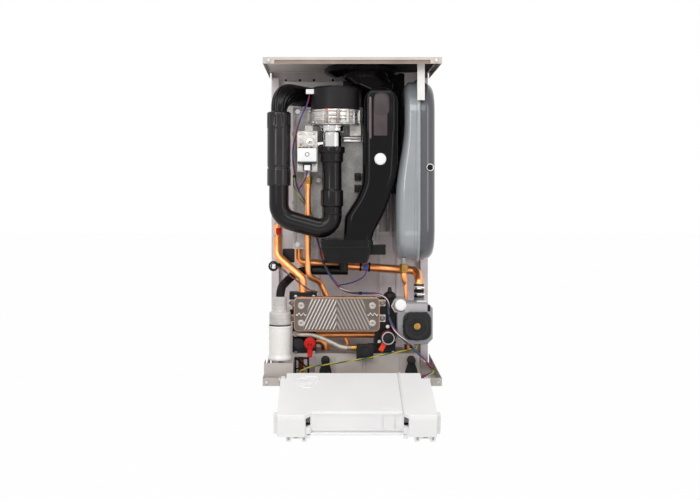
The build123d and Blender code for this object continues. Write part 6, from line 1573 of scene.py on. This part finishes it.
# ------------------------------------------------------------------ wiring
@dataclass(frozen=True)
class Bundle:
    """Wires that run together along a route's control points.

    Each strand's middle stands off the line by the spread, at an angle that turns once in each lay
    length and is shared out evenly among the strands. A start is the share of the way along at which
    its strand joins the others.
    """

    name: str
    route: tuple[Point, ...]
    colours: tuple[str, ...]
    spread: float
    radius: float
    lay_length: float
    starts: tuple[float, ...] = ()
    step: ClassVar[float] = 3.0

    def lay(self, body: str | None = "frame", replaces: Sequence[str] = ()) -> list[bpy.types.Object]:
        """Twist the strands round the route's smooth line.

        Args:
            body: the body that the strands ride on, or None to leave them on no body.
            replaces: the nodes that the first strand stands for.

        Returns:
            The strands.
        """
        line = resampled(spline_points(self.route), self.step)
        first, second = cross_frames(line)
        turn = FULL_TURN * np.arange(len(line)) * self.step / self.lay_length
        made = []
        for number, colour in enumerate(self.colours):
            angle = (turn + FULL_TURN * number / len(self.colours))[:, None]
            strand = line + self.spread * (np.cos(angle) * first + np.sin(angle) * second)
            strand = strand[int(self.starts[number] * len(line)) if self.starts else 0:]
            made.append(Form().tube(strand, self.radius, 12).piece(
                f"{self.name}_{colour}", WIRE[colour], "wire", body, () if number else replaces))
        return made


LOOM = Bundle("loom", (
    (-108, 243, -37), (-109, 243, -62), (-136, 232, -112), (-148, 216, -160), (-147.5, 206, -215),
    (-144, 196, -262), (-114, 168, -310), (-96, 170, -360), (-84, 172, -420), (-72, 196, -462),
    (-52, 200, -500), (-30, 198, -528), (0, 198, -541), (36, 198, -541), (72, 208, -541), (93, 226, -556),
    (93.5, 229, -592), (98, 244, -612), (114, 263, -638), (140, 273, -660), (165, 273, -684),
    (184, 276, -704)),
    ("red", "blue", "green", "violet", "brown", "white"), 1.9, 1.25, 110, (0.0, 0.0, 0.45, 0.42, 0.5, 0.62))
BRANCHES = (
    Bundle("valve_wire", ((-112, 234, -228), (-113, 234, -244), (-124, 226, -262), (-133, 212, -275)),
           ("blue", "red"), 1.2, 1.15, 40),
    Bundle("flow_wire", ((-195, 174.2, -474), (-181, 188, -477), (-160, 214, -492), (-132, 226, -512),
                         (-104, 226, -533), (-86, 216, -536)), ("green", "red"), 1.2, 1.1, 50),
    Bundle("return_wire", ((41, 129, -487.4), (40, 134, -500), (20, 150, -512), (-8, 172, -520),
                           (-30, 188, -521)), ("blue",), 0.0, 1.6, 50),
    Bundle("earth_wire", ((-142, 262, -757.8), (-142, 262, -734), (-110, 266, -719), (-62, 268, -711),
                          (-8, 268, -704), (50, 268, -693), (104, 266, -682), (136, 260, -678),
                          (164, 238, -679), (164, 238, -665.1)), ("yellow", "green"), 0.7, 1.5, 60),
    Bundle("cell_wire", ((-145, 214, -246), (-151, 205, -264), (-136, 196, -292), (-118, 186, -315),
                         (-104, 178, -330), (-97, 172, -350)), ("yellow", "green"), 0.6, 1.3, 60))
HINGE_LOOP = Bundle("hinge_wire", (
    (184, 276, -704), (193.5, 277.5, -714), (200, 298, -722), (197, 316, -724), (184, 322, -727),
    (165, 323.4, -733)), ("red", "blue", "yellow", "green", "brown"), 2.1, 1.3, 60)


@dataclass
class Wiring(SubAssembly):
    """The looms, single wires, plugs and the loop that crosses the hinge."""

    tie_shares: tuple[float, ...] = (0.2, 0.42, 0.6, 0.78, 0.93)

    def make(self) -> None:
        """Lay the strands of each bundle along its route and set the plugs and the ties."""
        for bundle in (LOOM, *BRANCHES):
            bundle.lay()
        for strand in HINGE_LOOP.lay(None, ["hinge_loop"]):
            tuple(at(184, 276, -704).tolist())
            tuple(at(184, 322, -727).tolist())
            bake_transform(strand)
        Form().pad(FRONT, (-115, -93), (-37, -25), (240, 250), 1.5, 0.8).pad(
            FRONT, (-119, -105), (-228, -215), (230.3, 238), 1.2, 0.6).pad(
            FRONT, (-204, -195), (-479.5, -468.5), (158, 176), 1.2, 0.6).piece(
            "white_plugs_on_looms", WHITE_ABS, "white_plastic", replaces=["wiring_loom"])
        ties = Form()
        line = spline_points(LOOM.route)
        for share in self.tie_shares:
            start = int(share * len(line))
            ties.tube(resampled(line[start:start + 3], 1.0), 4.3, 20)
        ties.piece("loom_ties", GLASS_FILLED, "wire")


# ------------------------------------------------------------------ control box
@dataclass
class ControlBox(SubAssembly):
    """The let-down control box: housing, lid, board, window, knobs and buttons."""

    lid: float = 22.0
    front: float = 197.0
    # The lid's white is a lighter copy of the housing's: painted light.
    finishes: ClassVar[dict[str, Finish]] = {
        "control_housing": BOX_WHITE, "control_lid": LID_WHITE_PAINTED_LIGHTER, "circuit_board": BOARD_GREEN,
        "display_window": SMOKED, "temperature_knob_left": KNOB_GREY, "temperature_knob_right": KNOB_GREY,
        "mode_button": KNOB_GREY, "reset_button": KNOB_GREY}

    def make(self) -> None:
        """Raise the lid's relief, paint the shadow in its groove, and frame the recess, the latches and the
        grilles.
        """
        self.make_lid()
        self.make_front()

    def make_lid(self) -> None:
        """Raise the cable guide on the lid, lay a grey strip of painted shadow in the groove, and add its
        ridge.
        """
        lid = self.lid
        guide = Form()
        for points in (((-134, 40), (-112, 26), (-84, 27), (-80, 44), (-92, 58), (-98, 78)),
                       ((-124, 46), (-106, 34), (-92, 36), (-90, 48), (-104, 60)),
                       ((-135, 50), (-130, 68), (-112, 84), (-100, 82))):
            flat = soften(points, 12.0, 6)
            line = on_box(flat[:, 0], flat[:, 1], np.full(len(flat), lid - 0.2))
            guide.tube(resampled(line, 2.0), 1.9, 14)
        guide.pad(BOX_LID, (-128, -112), (44, 66), (lid - 1, lid + 1.6), 5.0, 1.2).piece(
            "lid_cable_guide", LID_WHITE_PAINTED_LIGHTER, "box_white", "control_box")
        # The grey strip paints the shadow in the groove.
        Form().pad(BOX_LID, (108.2, 110.0), (5.0, 210), (lid - 1.4, lid - 0.4), 0.5, 0.2).piece(
            "lid_groove_painted_shadow", GROOVE_SHADOW_GREY, "box_white", "control_box")
        Form().pad(BOX_LID, (112.6, 115.6), (5.0, 210), (lid - 1, lid + 1.0), 1.2, 0.8).piece(
            "lid_groove_ridge", LID_WHITE_PAINTED_LIGHTER, "box_white", "control_box")

    def make_front(self) -> None:
        """Add the recess's ribs and ledge, the grilles in the lobes and the latches' tongues."""
        front = self.front
        walls = Form()
        for x, height in (((-96, 107), (15.5, 20.0)), ((-112, 117), (-25, -22)),
                          ((-112, 117), (-31, -28.5)),
                          ((62, 64), (-22, 15)), ((90, 92), (-22, 15)), ((62, 92), (13.5, 15.5))):
            walls.pad(BOX_FRONT, x, height, (front - 0.6, front + 2.4), 0.9, 0.8)
        walls.pad(BOX_FRONT, (-108, 118), (-31.5, -27.5), (front - 0.6, front + 11), 0.9, 0.8).piece(
            "front_recess_ribs", BOX_WHITE, "box_white", "control_box")
        grilles = Form()
        for x in ((-112, -98), (109, 123)):
            grilles.pad(BOX_FRONT, x, (-9, 11), (front - 9, front - 6), 1.0, 0.5)
            for height in (-5, 0, 5):
                grilles.pad(BOX_FRONT, x, (height - 0.8, height + 0.8), (front - 7, front - 5), 0.5, 0.3)
        grilles.piece("lobe_grilles", GRILLE_GREY, "box_white", "control_box")
        latches = Form()
        for x, half, height in ((-149, 2.6, (-44, -36)), (-132, 5.0, (-38.5, -33.5)),
                                (-114, 2.6, (-44, -36)),
                                (142, 2.6, (-44, -36)), (160, 5.0, (-38.5, -33.5)), (177, 2.6, (-44, -36))):
            latches.pad(BOX_FRONT, (x - half, x + half), height, (front + 9, front + 11.3), 0.8, 0.3)
        latches.piece("latch_tongues", GRILLE_GREY, "box_white", "control_box")


def main() -> None:
    """Load the frame, set the studio and build the groups in order."""
    logging.basicConfig(level=logging.INFO, format="%(name)s: %(message)s")
    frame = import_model()
    Studio().build()
    for group in (Casework, AirPath, Fan, Flue, HeatCell, GasTrain, Vessel, CopperWork, Exchanger,
                  Hydraulics, Pump, Siphon, Wiring, ControlBox):
        group(frame["nodes"]).build()


if __name__ == "__main__":
    main()
